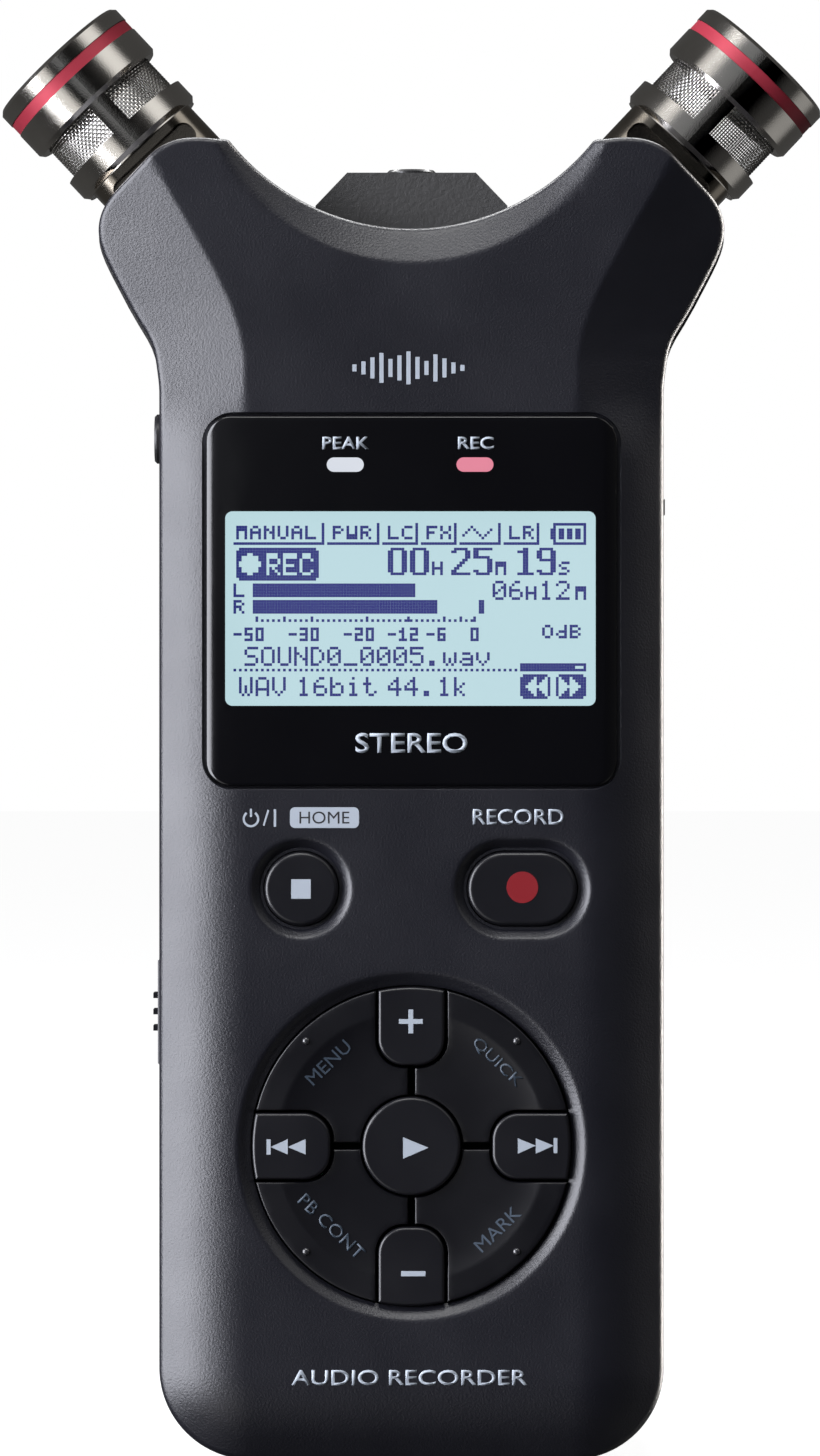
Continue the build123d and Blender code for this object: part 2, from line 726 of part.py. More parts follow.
# --------------------------------------------------------------- electronics
switches_at = [
    (stop_x, button_z), (record_x, button_z), (0, pad_z),
    (0, pad_z + direction_stem), (0, pad_z - direction_stem),
    (direction_stem, pad_z), (-direction_stem, pad_z),
    (corner_stem, pad_z + corner_stem), (-corner_stem, pad_z + corner_stem),
    (corner_stem, pad_z - corner_stem), (-corner_stem, pad_z - corner_stem),
]
switch_size = 4.0
switch_height = 1.5
switch_top_y = -7.1
plunger_y = board_front_y - switch_height

with BuildPart() as tact_switches:
    with BuildSketch(at_y(board_front_y - 0.02)):
        with Locations(*switches_at):
            Rectangle(switch_size, switch_size)
    extrude(amount=switch_height)
    with BuildSketch(at_y(plunger_y)):
        with Locations(*switches_at):
            Circle(1.0)
    extrude(amount=plunger_y - switch_top_y)
save(tact_switches.part, "tact_switches")

board_width, board_low, board_high = 47.0, 2.4, 126.4

with BuildPart() as main_board:
    with BuildSketch(at_y(board_rear_y)):
        with Locations((0, (board_low + board_high) / 2)):
            RectangleRounded(board_width, board_high - board_low, 8.0)
        with Locations(*case_screws_at):
            Circle(3.0, mode=Mode.SUBTRACT)
        with Locations(*board_screws_at):
            Circle(0.95, mode=Mode.SUBTRACT)
    extrude(amount=board_rear_y - board_front_y)
    # one chip and the two indicator lamps on the front
    with BuildSketch(at_y(board_front_y + 0.05)):
        with Locations((0, 72.5)):
            Rectangle(9, 6)
        with Locations((peak_lamp_x, lamp_z), (rec_lamp_x, lamp_z)):
            Rectangle(2.0, 1.2)
    extrude(amount=0.95)
    # three chips on the rear
    with BuildSketch(at_y(-3.0)):
        with Locations((-4, 78)):
            Rectangle(10, 10)
        with Locations((-14, 92), (4, 92)):
            Rectangle(6, 4)
    extrude(amount=1.25)
save(main_board.part, "main_board")

jack_body = 6.2            # side of the square jack bodies
jack_collar = 2.7
jack_chamfer = 0.25
mic_jack_low, mic_jack_high, mic_jack_tip = 124.4, 138.0, 140.4    # along Z
line_jack_outer, line_jack_inner, line_jack_tip = -25.3, -12.4, -28.1    # along X

with BuildPart() as mic_in_jack:
    with Locations((0, jack_y, (mic_jack_low + mic_jack_high) / 2)):
        Box(jack_body, jack_body, mic_jack_high - mic_jack_low)
    with BuildSketch(Plane.XY.offset(mic_jack_high)):
        with Locations((0, jack_y)):
            Circle(jack_collar)
    extrude(amount=mic_jack_tip - mic_jack_high)
    chamfer(mic_in_jack.faces().sort_by(Axis.Z)[-1].edges(), jack_chamfer)
    with BuildSketch(Plane.XY.offset(mic_jack_tip)):
        with Locations((0, jack_y)):
            Circle(jack_bore)
    extrude(amount=-jack_depth, mode=Mode.SUBTRACT)
save(mic_in_jack.part, "mic_in_jack")

with BuildPart() as line_out_jack:
    with Locations(((line_jack_outer + line_jack_inner) / 2, jack_y, line_jack_z)):
        Box(line_jack_inner - line_jack_outer, jack_body, jack_body)
    with BuildSketch(Plane.YZ.offset(line_jack_tip)):
        with Locations((jack_y, line_jack_z)):
            Circle(jack_collar)
    extrude(amount=2.9)
    chamfer(line_out_jack.faces().sort_by(Axis.X)[0].edges(), jack_chamfer)
    with BuildSketch(Plane.YZ.offset(line_jack_tip)):
        with Locations((jack_y, line_jack_z)):
            Circle(jack_bore)
    extrude(amount=jack_depth, mode=Mode.SUBTRACT)
save(line_out_jack.part, "line_out_jack")

# Hold slider: outer plate with three ribs, and an inner tongue.
rib_pitch = 1.78
tongue_height = 3.0

with BuildPart() as hold_slider:
    with Locations((-27.1, 0, slider_z)):
        Box(1.3, 4.8, slider_length)
    chamfer(hold_slider.faces().sort_by(Axis.X)[0].edges(), 0.25)
    with Locations(*[(-27.95, 0, slider_z + rib_pitch * i) for i in (-1, 0, 1)]):
        Box(0.6, 4.0, 0.58)
    with Locations((-24.9, 0, slider_z)):
        Box(3.3, 1.4, tongue_height)
save(hold_slider.part, "hold_slider")

with BuildPart() as hold_switch_body:
    with Locations((-22.4, -1.45, slider_mid_z)):
        Box(3.8, 5.3, 13.0)
    with Locations((-23.3, 0, slider_mid_z)):
        Box(2.6, 1.8, tongue_height + slider_travel + 0.5, mode=Mode.SUBTRACT)
save(hold_switch_body.part, "hold_switch_body")

# Memory card and its socket; each runs in x between the two named ends.
card_y, card_z = -3.2, 95.5
socket_left, socket_right = 8.9, 24.0
socket_space_left, socket_space_right = 9.3, 25.0
card_left, card_right = 10.1, 25.1

with BuildPart() as card_socket:
    with Locations(((socket_left + socket_right) / 2, card_y, card_z)):
        Box(socket_right - socket_left, 1.8, 12.6)
    with Locations(((socket_space_left + socket_space_right) / 2, card_y, card_z)):
        Box(socket_space_right - socket_space_left, 1.0, 11.2, mode=Mode.SUBTRACT)
save(card_socket.part, "card_socket")

with BuildPart() as memory_card:
    with Locations(((card_left + card_right) / 2, card_y, card_z)):
        Box(card_right - card_left, 0.9, 11.0)
    fillet(memory_card.edges().filter_by(Axis.Y), 0.5)
save(memory_card.part, "memory_card")

usb_y, usb_low = -2.75, 0.8
usb_width, usb_depth, usb_wall = 7.6, 2.7, 0.3

with BuildPart() as usb_port:
    with BuildSketch(Plane.XY.offset(usb_low)):
        with Locations((0, usb_y)):
            RectangleRounded(usb_width, usb_depth, 0.8)
    extrude(amount=5.6)
    with BuildSketch(Plane.XY.offset(usb_low)):
        with Locations((0, usb_y)):
            RectangleRounded(usb_width - 2 * usb_wall, usb_depth - 2 * usb_wall, 0.6)
    extrude(amount=5.0, mode=Mode.SUBTRACT)
    with Locations((0, usb_y, 3.6)):
        Box(3.8, 0.6, 4.6)
save(usb_port.part, "usb_port")

speaker_steps = [
    # rear y, radius, depth, mode
    (11.05, 9.2, 1.6, Mode.ADD),
    (9.5, 5.5, 3.0, Mode.ADD),
    (11.2, 8.0, 0.9, Mode.SUBTRACT),
]
with BuildPart() as speaker:
    for y, radius, depth, mode in speaker_steps:
        with BuildSketch(at_y(y)):
            with Locations((0, speaker_z)):
                Circle(radius)
        extrude(amount=depth, mode=mode)
save(speaker.part, "speaker")

with BuildPart() as tripod_bush:
    with BuildSketch(at_y(12.9)):
        with Locations((0, bush_z)):
            Circle(5.48)
    extrude(amount=7.3)
    with BuildSketch(at_y(13.2)):
        with Locations((0, bush_z)):
            Circle(2.55)
    extrude(amount=6.8, mode=Mode.SUBTRACT)
    chamfer(tripod_bush.faces().sort_by(Axis.Y)[-1].edges(), 0.3)
save(tripod_bush.part, "tripod_bush")

# ------------------------------------------------------------------- battery
battery_x, battery_y, battery_radius = 7.35, 4.3, 7.1
cell_length = 49.2         # without the cap
cap_radius = 2.6
cap_length = 1.35
cap_overlap = 0.05         # how far the cap reaches into the cell


def battery(x, low_z, cap_z):
    """Cell standing on low_z, with a cap that starts at cap_z."""
    with BuildPart() as cell:
        with BuildSketch(Plane.XY.offset(low_z)):
            with Locations((x, battery_y)):
                Circle(battery_radius)
        extrude(amount=cell_length)
        fillet(cell.edges().filter_by(GeomType.CIRCLE), 0.5)
        with BuildSketch(Plane.XY.offset(cap_z)):
            with Locations((x, battery_y)):
                Circle(cap_radius)
        extrude(amount=cap_length)
    return cell.part


# The left cell stands with its cap up, the right cell with its cap down.
left_low, right_low = 14.55, 11.5
save(battery(-battery_x, left_low, left_low + cell_length - cap_overlap), "aa_battery_left")
save(battery(battery_x, right_low, right_low + cap_overlap - cap_length), "aa_battery_right")

contact_low_z, contact_high_z = 9.9, 65.35
contact_width, contact_thick = 10.0, 0.4

with BuildPart() as battery_contacts:
    with Locations((0, battery_y, contact_low_z)):
        Box(27.0, contact_width, contact_thick)
    with Locations(*[(x, battery_y, contact_high_z) for x in (-battery_x, battery_x)]):
        Box(11.0, contact_width, contact_thick)
save(battery_contacts.part, "battery_contacts")

spring_wire = 0.35         # wire radius
spring_pitch = 1.15
spring_turns = 3

with BuildPart() as left_spring:
    with BuildLine():
        coil = Helix(pitch=spring_pitch, height=spring_turns * spring_pitch, radius=3.4,
                     center=(-battery_x, battery_y, 10.55))
    with BuildSketch(Plane(origin=coil @ 0, z_dir=coil % 0)):
        Circle(spring_wire)
    sweep()

# The second spring is the first one turned end for end, above the right cell.
spring_turn_axis = Axis((0, battery_y, (contact_low_z + contact_high_z) / 2), (0, 1, 0))
with BuildPart() as battery_springs:
    add(left_spring.part)
    add(left_spring.part.rotate(spring_turn_axis, 180))
save(battery_springs.part, "battery_springs")


# ------------------------------------------------------------------- screws
def screws(places, shank, head, cross):
    """Screws heading to the front: shank and head are (rear y, radius, length),
    the cross in the head is (rear y, length, width, depth)."""
    cross_y, cross_length, cross_width, cross_depth = cross
    with BuildPart() as screw_set:
        for y, radius, length in (shank, head):
            with BuildSketch(at_y(y)):
                with Locations(*places):
                    Circle(radius)
            extrude(amount=length)
        with BuildSketch(at_y(cross_y)):
            with Locations(*places):
                Rectangle(cross_length, cross_width)
                Rectangle(cross_width, cross_length)
        extrude(amount=cross_depth, mode=Mode.SUBTRACT)
    return screw_set.part


save(screws(case_screws_at, shank=(6.2, 0.95, 13.8), head=(7.6, 2.1, 1.55),
            cross=(7.7, 2.6, 0.5, 0.8)), "case_screws")
save(screws(board_screws_at, shank=(-4.15, 0.75, 4.8), head=(-3.1, 1.7, 1.05),
            cross=(-3.0, 2.0, 0.4, 0.6)), "board_screws")

# -------------------------------------------------------------- microphones
# The left microphone is built; the right one is its mirror image. Distances
# run from the pivot outward along the microphone axis.
with BuildPart() as pivot_shaft:
    with BuildSketch(at_y(10.6)):
        with Locations((-pivot_x, pivot_z)):
            Circle(2.5)
            Circle(1.3, mode=Mode.SUBTRACT)
    extrude(amount=19.2)

with BuildPart() as friction_washers:
    for y in (8.25, -5.85):
        with BuildSketch(at_y(y)):
            with Locations((-pivot_x, pivot_z)):
                Circle(5.4)
                Circle(2.6, mode=Mode.SUBTRACT)
        extrude(amount=0.4)

arm_depth = 13.6           # along Y

with BuildPart() as mic_arm:
    with BuildSketch(at_y(7.8)):
        with Locations((-pivot_x, pivot_z)):
            Circle(arm_half)
    extrude(amount=arm_depth)
    with BuildSketch(along_mic(0)):
        RectangleRounded(arm_depth, 2 * arm_half, 3.2)
    extrude(amount=9.35)
    # spigot for the barrel
    with BuildSketch(along_mic(9.3)):
        Circle(5.0)
    extrude(amount=2.7)
    # one cut for both sketches: a shallow round hole in the hub's inner end
    # and a recess in the front face
    with BuildSketch(along_mic(-8)):
        Circle(1.0)
    with BuildSketch(swing_plane(rest_angle, -6.0)):
        with Locations((7.1, 0)):
            RectangleRounded(2.6, 11.2, 1.1)
    extrude(amount=1.7, mode=Mode.SUBTRACT)
    with BuildSketch(at_y(9)):
        with Locations((-pivot_x, pivot_z)):
            Circle(2.56)
    extrude(amount=16, mode=Mode.SUBTRACT)

barrel_stages = [
    # start, radius there, end, radius there
    (9.4, 7.75, 9.54, 7.75),
    (9.54, 7.75, 10.07, 8.2),
    (10.07, 8.2, 16.37, 8.2),
    (16.37, 8.2, 16.83, 8.58),
    (16.83, 8.58, 19.81, 8.58),
    (19.8, 7.75, 21.15, 7.75),
]
barrel_bores = [
    # start, radius, length
    (11.3, 7.4, 12),
    (9, 5.05, 4),
]
post_angle = math.radians(8.1)    # half angle of a post between two windows
post_reach_x = 12 * math.cos(post_angle)
post_reach_y = 12 * math.sin(post_angle)

with BuildPart() as mic_barrel:
    for start, radius, end, end_radius in barrel_stages:
        with BuildSketch(along_mic(start)):
            Circle(radius)
        if radius == end_radius:
            extrude(amount=end - start)
        else:
            with BuildSketch(along_mic(end)):
                Circle(end_radius)
            loft()
    for start, radius, length in barrel_bores:
        with BuildSketch(along_mic(start)):
            Circle(radius)
        extrude(amount=length, mode=Mode.SUBTRACT)
    # five windows between narrow posts
    with BuildSketch(along_mic(12.3)):
        Circle(9.5)
        with PolarLocations(0, 5):
            with BuildLine():
                Polyline((0, 0), (post_reach_x, post_reach_y),
                         (post_reach_x, -post_reach_y), close=True)
            make_face(mode=Mode.SUBTRACT)
    extrude(amount=4.07, mode=Mode.SUBTRACT)

with BuildPart() as mic_cap:
    with BuildSketch(along_mic(21.2)):
        Circle(8.58)
    extrude(amount=1.87)
    chamfer(
        mic_cap.faces().sort_by(SortBy.AREA)[-2:].edges()
        .filter_by(GeomType.CIRCLE).sort_by(Axis.Z)[-1:],
        0.4,
    )
    with BuildSketch(along_mic(19.5)):
        Circle(7.35)
    extrude(amount=1.8)
    with BuildSketch(along_mic(19)):
        Circle(6.2)
    extrude(amount=5, mode=Mode.SUBTRACT)
    # seat for the grille
    with BuildSketch(along_mic(21.9)):
        Circle(7.2)
    extrude(amount=2, mode=Mode.SUBTRACT)


def mic_disc(start, length, radius, bore=None):
    """Disc or ring round the microphone axis."""
    with BuildPart() as disc:
        with BuildSketch(along_mic(start)):
            Circle(radius)
            if bore:
                Circle(bore, mode=Mode.SUBTRACT)
        extrude(amount=length)
    return disc.part


left_side = {
    "pivot_shaft": pivot_shaft.part,
    "friction_washers": friction_washers.part,
    "mic_arm": mic_arm.part,
    "mic_barrel": mic_barrel.part,
    "mic_mesh": mic_disc(start=11.4, length=7.2, radius=7.36, bore=7.14),
    "mic_ring": mic_disc(start=19.83, length=1.34, radius=8.5, bore=7.79),
    "mic_cap": mic_cap.part,
    "mic_grille": mic_disc(start=21.95, length=0.4, radius=7.15),
    "mic_capsule": mic_disc(start=16.9, length=4.1, radius=4.85),
    "capsule_mount": mic_disc(start=18.7, length=2.6, radius=6.15, bore=4.9),
}
for name, part in left_side.items():
    save(part, f"left_{name}")
    save(mirrored(part, Plane.YZ), f"right_{name}")
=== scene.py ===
# A handheld audio recorder, standing upright on a floor: lit screen, two swivelling
# microphones on top, and a round pad of keys low on the front.
# X runs to the right across the width, Z up, and the front faces -Y. The case stands on
# z = 0 and is centred on x = 0. Shapes are in millimetres and turned to metres with MM.
import bpy
import bmesh
import math
import numpy as np
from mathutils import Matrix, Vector
from mathutils.geometry import delaunay_2d_cdt


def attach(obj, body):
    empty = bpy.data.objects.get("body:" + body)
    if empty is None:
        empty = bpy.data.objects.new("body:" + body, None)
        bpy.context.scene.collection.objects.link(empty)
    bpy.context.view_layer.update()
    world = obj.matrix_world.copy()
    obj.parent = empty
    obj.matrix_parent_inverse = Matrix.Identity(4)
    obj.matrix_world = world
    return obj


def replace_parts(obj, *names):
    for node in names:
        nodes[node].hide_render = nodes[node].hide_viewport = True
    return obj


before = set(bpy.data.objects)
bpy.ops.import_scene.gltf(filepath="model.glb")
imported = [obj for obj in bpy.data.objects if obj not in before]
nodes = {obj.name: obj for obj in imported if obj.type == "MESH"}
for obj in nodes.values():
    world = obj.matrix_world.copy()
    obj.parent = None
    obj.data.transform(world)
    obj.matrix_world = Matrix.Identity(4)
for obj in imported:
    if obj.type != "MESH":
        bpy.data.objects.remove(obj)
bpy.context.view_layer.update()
MM = 0.001
COL = bpy.context.scene.collection
AXIS_X, AXIS_Y, AXIS_Z = (1, 0, 0), (0, 1, 0), (0, 0, 1)

# Planes, as y: more negative is further forward
FACE_Y = -12.97         # flat front of the case
LENS_Y = -12.95         # front of the window border and of what sits in its openings
CORNER_Y = -12.70       # rim of the four corner keys
DOTS_Y = -11.10         # screen dots
CASE_INK_Y = -12.995
LENS_INK_Y = -12.975
KEY_INK_Y = -12.93      # pad's direction keys
ROUND_INK_Y = -12.73    # stop and record keys
DISH_INK_Y = -12.25     # corner key words, before they are draped

# Places on the front, as (x, z)
STOP = (-11.90, 62.0)
RECORD = (11.96, 62.0)
PAD = (0.0, 34.2)
WINDOW = (0, 93.05)
WINDOW_SIZE = (45.05, 40.55)
SCREEN, SCREEN_SIZE = (-0.11535, 92.24004), (39.97574, 20.98591)
LAMPS = ((-7.14482, 107.76099), (6.84939, 107.77178))
LAMP_SIZE = (4.0, 1.56)
KEY_HOLE_R = 4.13
RECORD_HOLE_W = 12.09
PAD_HOLE_R = 17.40

# Microphone pivots and the lean of the barrels from upright, in degrees
MIC_X, MIC_Z, MIC_TILT = 23.10, 135.80, 43.3

# ------------------------------------------------------------------ materials
NOISE_SPAN = (0.3, 0.7)     # the part of the noise's output that is spread over a range


def new_mat(name):
    mat = bpy.data.materials.new(name)
    mat.use_nodes = True
    tree = mat.node_tree
    tree.nodes.clear()
    out = tree.nodes.new("ShaderNodeOutputMaterial")
    bsdf = tree.nodes.new("ShaderNodeBsdfPrincipled")
    tree.links.new(bsdf.outputs[0], out.inputs[0])
    return mat, tree, bsdf


def noise(tree, scale, detail=2.0, rough=0.5, vec=None):
    node = tree.nodes.new("ShaderNodeTexNoise")
    node.inputs["Scale"].default_value = scale
    node.inputs["Detail"].default_value = detail
    node.inputs["Roughness"].default_value = rough
    if vec is None:
        vec = tree.nodes.new("ShaderNodeTexCoord").outputs["Object"]
    tree.links.new(vec, node.inputs["Vector"])
    return node.outputs["Fac"]


def map_range(tree, source, span, result):
    node = tree.nodes.new("ShaderNodeMapRange")
    node.inputs["From Min"].default_value, node.inputs["From Max"].default_value = span
    node.inputs["To Min"].default_value, node.inputs["To Max"].default_value = result
    tree.links.new(source, node.inputs["Value"])
    return node.outputs["Result"]


def mix_col(tree, factor, first, second):
    """Mix of two colours, each an RGB tuple or a socket."""
    node = tree.nodes.new("ShaderNodeMix")
    node.data_type = "RGBA"
    tree.links.new(factor, node.inputs["Factor"])
    sockets = [s for s in node.inputs if s.type == "RGBA"]
    for socket, value in zip(sockets, (first, second)):
        if isinstance(value, tuple):
            socket.default_value = (*value, 1.0)
        else:
            tree.links.new(value, socket)
    return [s for s in node.outputs if s.type == "RGBA"][0]


def calm_sheen(tree, bsdf, spec):
    """Less sheen on faces that look to the front when they are seen at a slant."""
    geometry = tree.nodes.new("ShaderNodeNewGeometry")
    dot = tree.nodes.new("ShaderNodeVectorMath")
    dot.operation = "DOT_PRODUCT"
    tree.links.new(geometry.outputs["Normal"], dot.inputs[0])
    dot.inputs[1].default_value = (0, -1, 0)
    weight = tree.nodes.new("ShaderNodeLayerWeight")
    weight.inputs["Blend"].default_value = 0.5
    both = tree.nodes.new("ShaderNodeMath")
    both.operation = "MULTIPLY"
    frontal = map_range(tree, dot.outputs["Value"], span=(0.93, 0.985), result=(0.0, 1.0))
    tree.links.new(frontal, both.inputs[0])
    slant = map_range(tree, weight.outputs["Facing"], span=(0.22, 0.46), result=(0.0, 1.0))
    tree.links.new(slant, both.inputs[1])
    sheen = map_range(tree, both.outputs[0], span=(0.0, 1.0), result=(spec, 0.04 * spec))
    tree.links.new(sheen, bsdf.inputs["Specular IOR Level"])


def surface(name, base, rough, metal=0.0, grain=0.25, bump=0.25, vary=0.06, tint=0.12,
            spec=0.5, coat=0.0, blotch=2.5, depth=0.00002, calm=False):
    """Procedural finish. grain and blotch set the fine and wide texture size in mm, vary
    the roughness swing, tint the colour swing, bump and depth (m) the relief."""
    mat, tree, bsdf = new_mat(name)
    place = tree.nodes.new("ShaderNodeTexCoord").outputs["Object"]
    fine = noise(tree, 1000.0 / grain, detail=3.0, rough=0.6, vec=place)
    wide = noise(tree, 1000.0 / (blotch * 4.0), detail=3.0, rough=0.55, vec=place)
    dark = tuple(max(0.0, c * (1 - tint)) for c in base)
    light = tuple(min(1.0, c * (1 + tint)) for c in base)
    # 0.6 of the fine noise and up to 0.4 of the wide one
    blend = tree.nodes.new("ShaderNodeMath")
    blend.operation = "MULTIPLY_ADD"
    tree.links.new(fine, blend.inputs[0])
    blend.inputs[1].default_value = 0.6
    tree.links.new(map_range(tree, wide, NOISE_SPAN, (0.0, 0.4)), blend.inputs[2])
    tree.links.new(mix_col(tree, blend.outputs[0], dark, light), bsdf.inputs["Base Color"])
    bsdf.inputs["Metallic"].default_value = metal
    swing = (max(0.02, rough - vary), min(1.0, rough + vary))
    tree.links.new(map_range(tree, wide, NOISE_SPAN, swing), bsdf.inputs["Roughness"])
    bsdf.inputs["Specular IOR Level"].default_value = spec
    if calm:
        calm_sheen(tree, bsdf, spec)
    bsdf.inputs["Coat Weight"].default_value = coat
    if bump > 0:
        node = tree.nodes.new("ShaderNodeBump")
        node.inputs["Strength"].default_value = bump
        node.inputs["Distance"].default_value = depth
        tree.links.new(fine, node.inputs["Height"])
        tree.links.new(node.outputs[0], bsdf.inputs["Normal"])
    return mat


def emitter(name, first, second, strength, scale):
    """Glowing finish that drifts between two colours."""
    mat, tree, bsdf = new_mat(name)
    glow_color = mix_col(tree, noise(tree, scale), first, second)
    bsdf.inputs["Base Color"].default_value = (0.03, 0.03, 0.035, 1)
    tree.links.new(glow_color, bsdf.inputs["Emission Color"])
    bsdf.inputs["Emission Strength"].default_value = strength
    bsdf.inputs["Roughness"].default_value = 0.4
    bsdf.inputs["Specular IOR Level"].default_value = 0.1
    return mat


def clear_pane():
    mat, tree, bsdf = new_mat("window_clear")
    bsdf.inputs["Base Color"].default_value = (0.0, 0.0, 0.0, 1)
    bsdf.inputs["Alpha"].default_value = 0.06
    haze = map_range(tree, noise(tree, scale=150), NOISE_SPAN, (0.04, 0.09))
    tree.links.new(haze, bsdf.inputs["Roughness"])
    return mat


MAT = {
    # Case, keys and window
    "case": surface("case_plastic", (0.0098, 0.0100, 0.0148), rough=0.365, grain=0.24, bump=0.85,
                    vary=0.03, tint=0.16, spec=0.55, depth=0.00005, calm=True),
    "rear": surface("rear_plastic", (0.028, 0.0275, 0.0275), rough=0.56, grain=0.45, bump=0.9,
                    vary=0.03, tint=0.18, spec=0.75, depth=0.00008),
    "key": surface("key_plastic", (0.007, 0.007, 0.0095), rough=0.33, grain=0.18, bump=0.2,
                   vary=0.04, calm=True),
    "corner_key": surface("corner_key_plastic", (0.0045, 0.0045, 0.0065), rough=0.36,
                          grain=0.18, vary=0.04, spec=0.45, calm=True),
    "lens": surface("window_black", (0.004, 0.004, 0.005), rough=0.12, grain=0.3, bump=0.0,
                    vary=0.02, tint=0.1, calm=True),
    # Microphones
    "chrome": surface("dark_chrome", (0.60, 0.575, 0.54), rough=0.15, metal=1.0, grain=0.17,
                      bump=0.75, vary=0.03, tint=0.06, blotch=1.2, depth=0.000012),
    "chrome_dark": surface("arm_chrome", (0.30, 0.27, 0.23), rough=0.19, metal=1.0, grain=0.17,
                           bump=0.60, vary=0.05, tint=0.10, blotch=1.2, depth=0.000012),
    "mesh": surface("steel_wire", (0.42, 0.41, 0.395), rough=0.25, metal=1.0, grain=0.10,
                    bump=0.1, vary=0.05, tint=0.08, depth=0.00001),
    "red": surface("red_ring", (0.42, 0.035, 0.060), rough=0.42, metal=0.35, grain=0.12,
                   bump=0.12, vary=0.05, tint=0.15, spec=0.6),
    "rubber": surface("soft_rubber", (0.02, 0.02, 0.02), rough=0.75, grain=0.3, bump=0.5,
                      vary=0.08, tint=0.2),
    # Metal parts
    "steel": surface("plated_steel", (0.55, 0.55, 0.56), rough=0.28, metal=1.0, grain=0.15,
                     bump=0.2, vary=0.08, tint=0.1),
    "spring": surface("spring_steel", (0.70, 0.70, 0.70), rough=0.22, metal=1.0, grain=0.2,
                      bump=0.1, tint=0.08),
    "brass": surface("nickel_brass", (0.62, 0.56, 0.42), rough=0.25, metal=1.0, grain=0.2,
                     bump=0.15, vary=0.07),
    "screw": surface("black_zinc", (0.06, 0.06, 0.065), rough=0.35, metal=0.9, grain=0.15,
                     vary=0.08, tint=0.2),
    # Inner parts
    "board": surface("solder_mask", (0.015, 0.09, 0.04), rough=0.3, grain=0.8, bump=0.3,
                     tint=0.3, coat=0.3),
    "black": surface("moulded_black", (0.012, 0.012, 0.013), rough=0.45, bump=0.3, tint=0.15),
    "socket": surface("jack_black", (0.02, 0.02, 0.021), rough=0.3, bump=0.15, tint=0.15),
    "cell": surface("cell_sleeve", (0.05, 0.06, 0.075), rough=0.28, metal=0.3, grain=0.5,
                    bump=0.1, vary=0.05, tint=0.15, coat=0.4),
    "card": surface("card_plastic", (0.02, 0.02, 0.022), rough=0.25, grain=0.3, bump=0.1,
                    vary=0.04, tint=0.15),
    "guide": surface("light_guide", (0.80, 0.82, 0.85), rough=0.2, grain=1.0, bump=0.05,
                     vary=0.05, tint=0.04),
    # Print
    "ink": surface("printed_ink", (0.45, 0.50, 0.565), rough=0.5, grain=0.12, bump=0.2,
                   tint=0.06),
    "ink_dim": surface("printed_ink_dim", (0.050, 0.070, 0.098), rough=0.5, grain=0.12,
                       bump=0.2, tint=0.08),
    "ink_red": surface("printed_ink_red", (0.25, 0.012, 0.018), rough=0.45, grain=0.12,
                       bump=0.2, tint=0.10),
    "ink_dark": surface("printed_ink_dark", (0.02, 0.02, 0.024), rough=0.5, grain=0.12,
                        bump=0.2, tint=0.1),
    # Lit parts
    "lcd": emitter("lit_screen", (0.56, 0.79, 0.85), (0.60, 0.83, 0.88),
                   strength=0.96, scale=60),
    "peak": emitter("peak_lens", (0.66, 0.70, 0.77), (0.71, 0.74, 0.80),
                    strength=0.97, scale=300),
    "rec": emitter("rec_lens", (0.72, 0.21, 0.29), (0.80, 0.24, 0.33),
                   strength=0.97, scale=300),
    "dots": emitter("screen_dots", (0.020, 0.024, 0.19), (0.028, 0.034, 0.24),
                    strength=0.95, scale=60),
    "clear": clear_pane(),
    "key_pip": surface("key_pip_plastic", (0.03, 0.03, 0.034), rough=0.18, grain=0.1,
                       bump=0.05, vary=0.04, tint=0.1, spec=0.8),
}

# ---------------------------------------------------------------- mesh helpers


def shade(mesh, angle=32):
    """Smooth shading, sharp where faces meet at more than angle degrees."""
    mesh.polygons.foreach_set("use_smooth", [True] * len(mesh.polygons))
    mesh.set_sharp_from_angle(angle=math.radians(angle))


def link(name, mesh, body):
    made = bpy.data.objects.new(name, mesh)
    COL.objects.link(made)
    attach(made, body)
    return made


def mesh_object(name, verts, faces, mat, body, smooth=True):
    """Object from vertices in mm and faces."""
    mesh = bpy.data.meshes.new(name)
    points = [tuple(v) for v in np.asarray(verts) * MM]
    mesh.from_pydata(points, [], [tuple(int(i) for i in f) for f in faces])
    mesh.materials.append(mat)
    if smooth:
        shade(mesh)
    mesh.validate()
    mesh.update()
    return link(name, mesh, body)


def bmesh_object(name, bm, mat, body, smooth=False):
    mesh = bpy.data.meshes.new(name)
    bm.to_mesh(mesh)
    bm.free()
    mesh.materials.append(mat)
    if smooth:
        shade(mesh)
    mesh.update()
    return link(name, mesh, body)


def seg_dist(points, poly, closed=True):
    """Distance from each point (n, 2) to a polyline (m, 2)."""
    start = np.asarray(poly, float)
    end = np.roll(start, -1, 0) if closed else start[1:]
    if not closed:
        start = start[:-1]
    best = np.full(len(points), 1e9)
    along = end - start
    length2 = (along ** 2).sum(1) + 1e-12
    chunk = 4000    # keeps the arrays small
    for i in range(0, len(points), chunk):
        q = points[i:i + chunk, None, :]
        t = np.clip(((q - start) * along).sum(2) / length2, 0, 1)
        gap = np.sqrt(((q - (start + t[..., None] * along)) ** 2).sum(2))
        best[i:i + chunk] = gap.min(1)
    return best


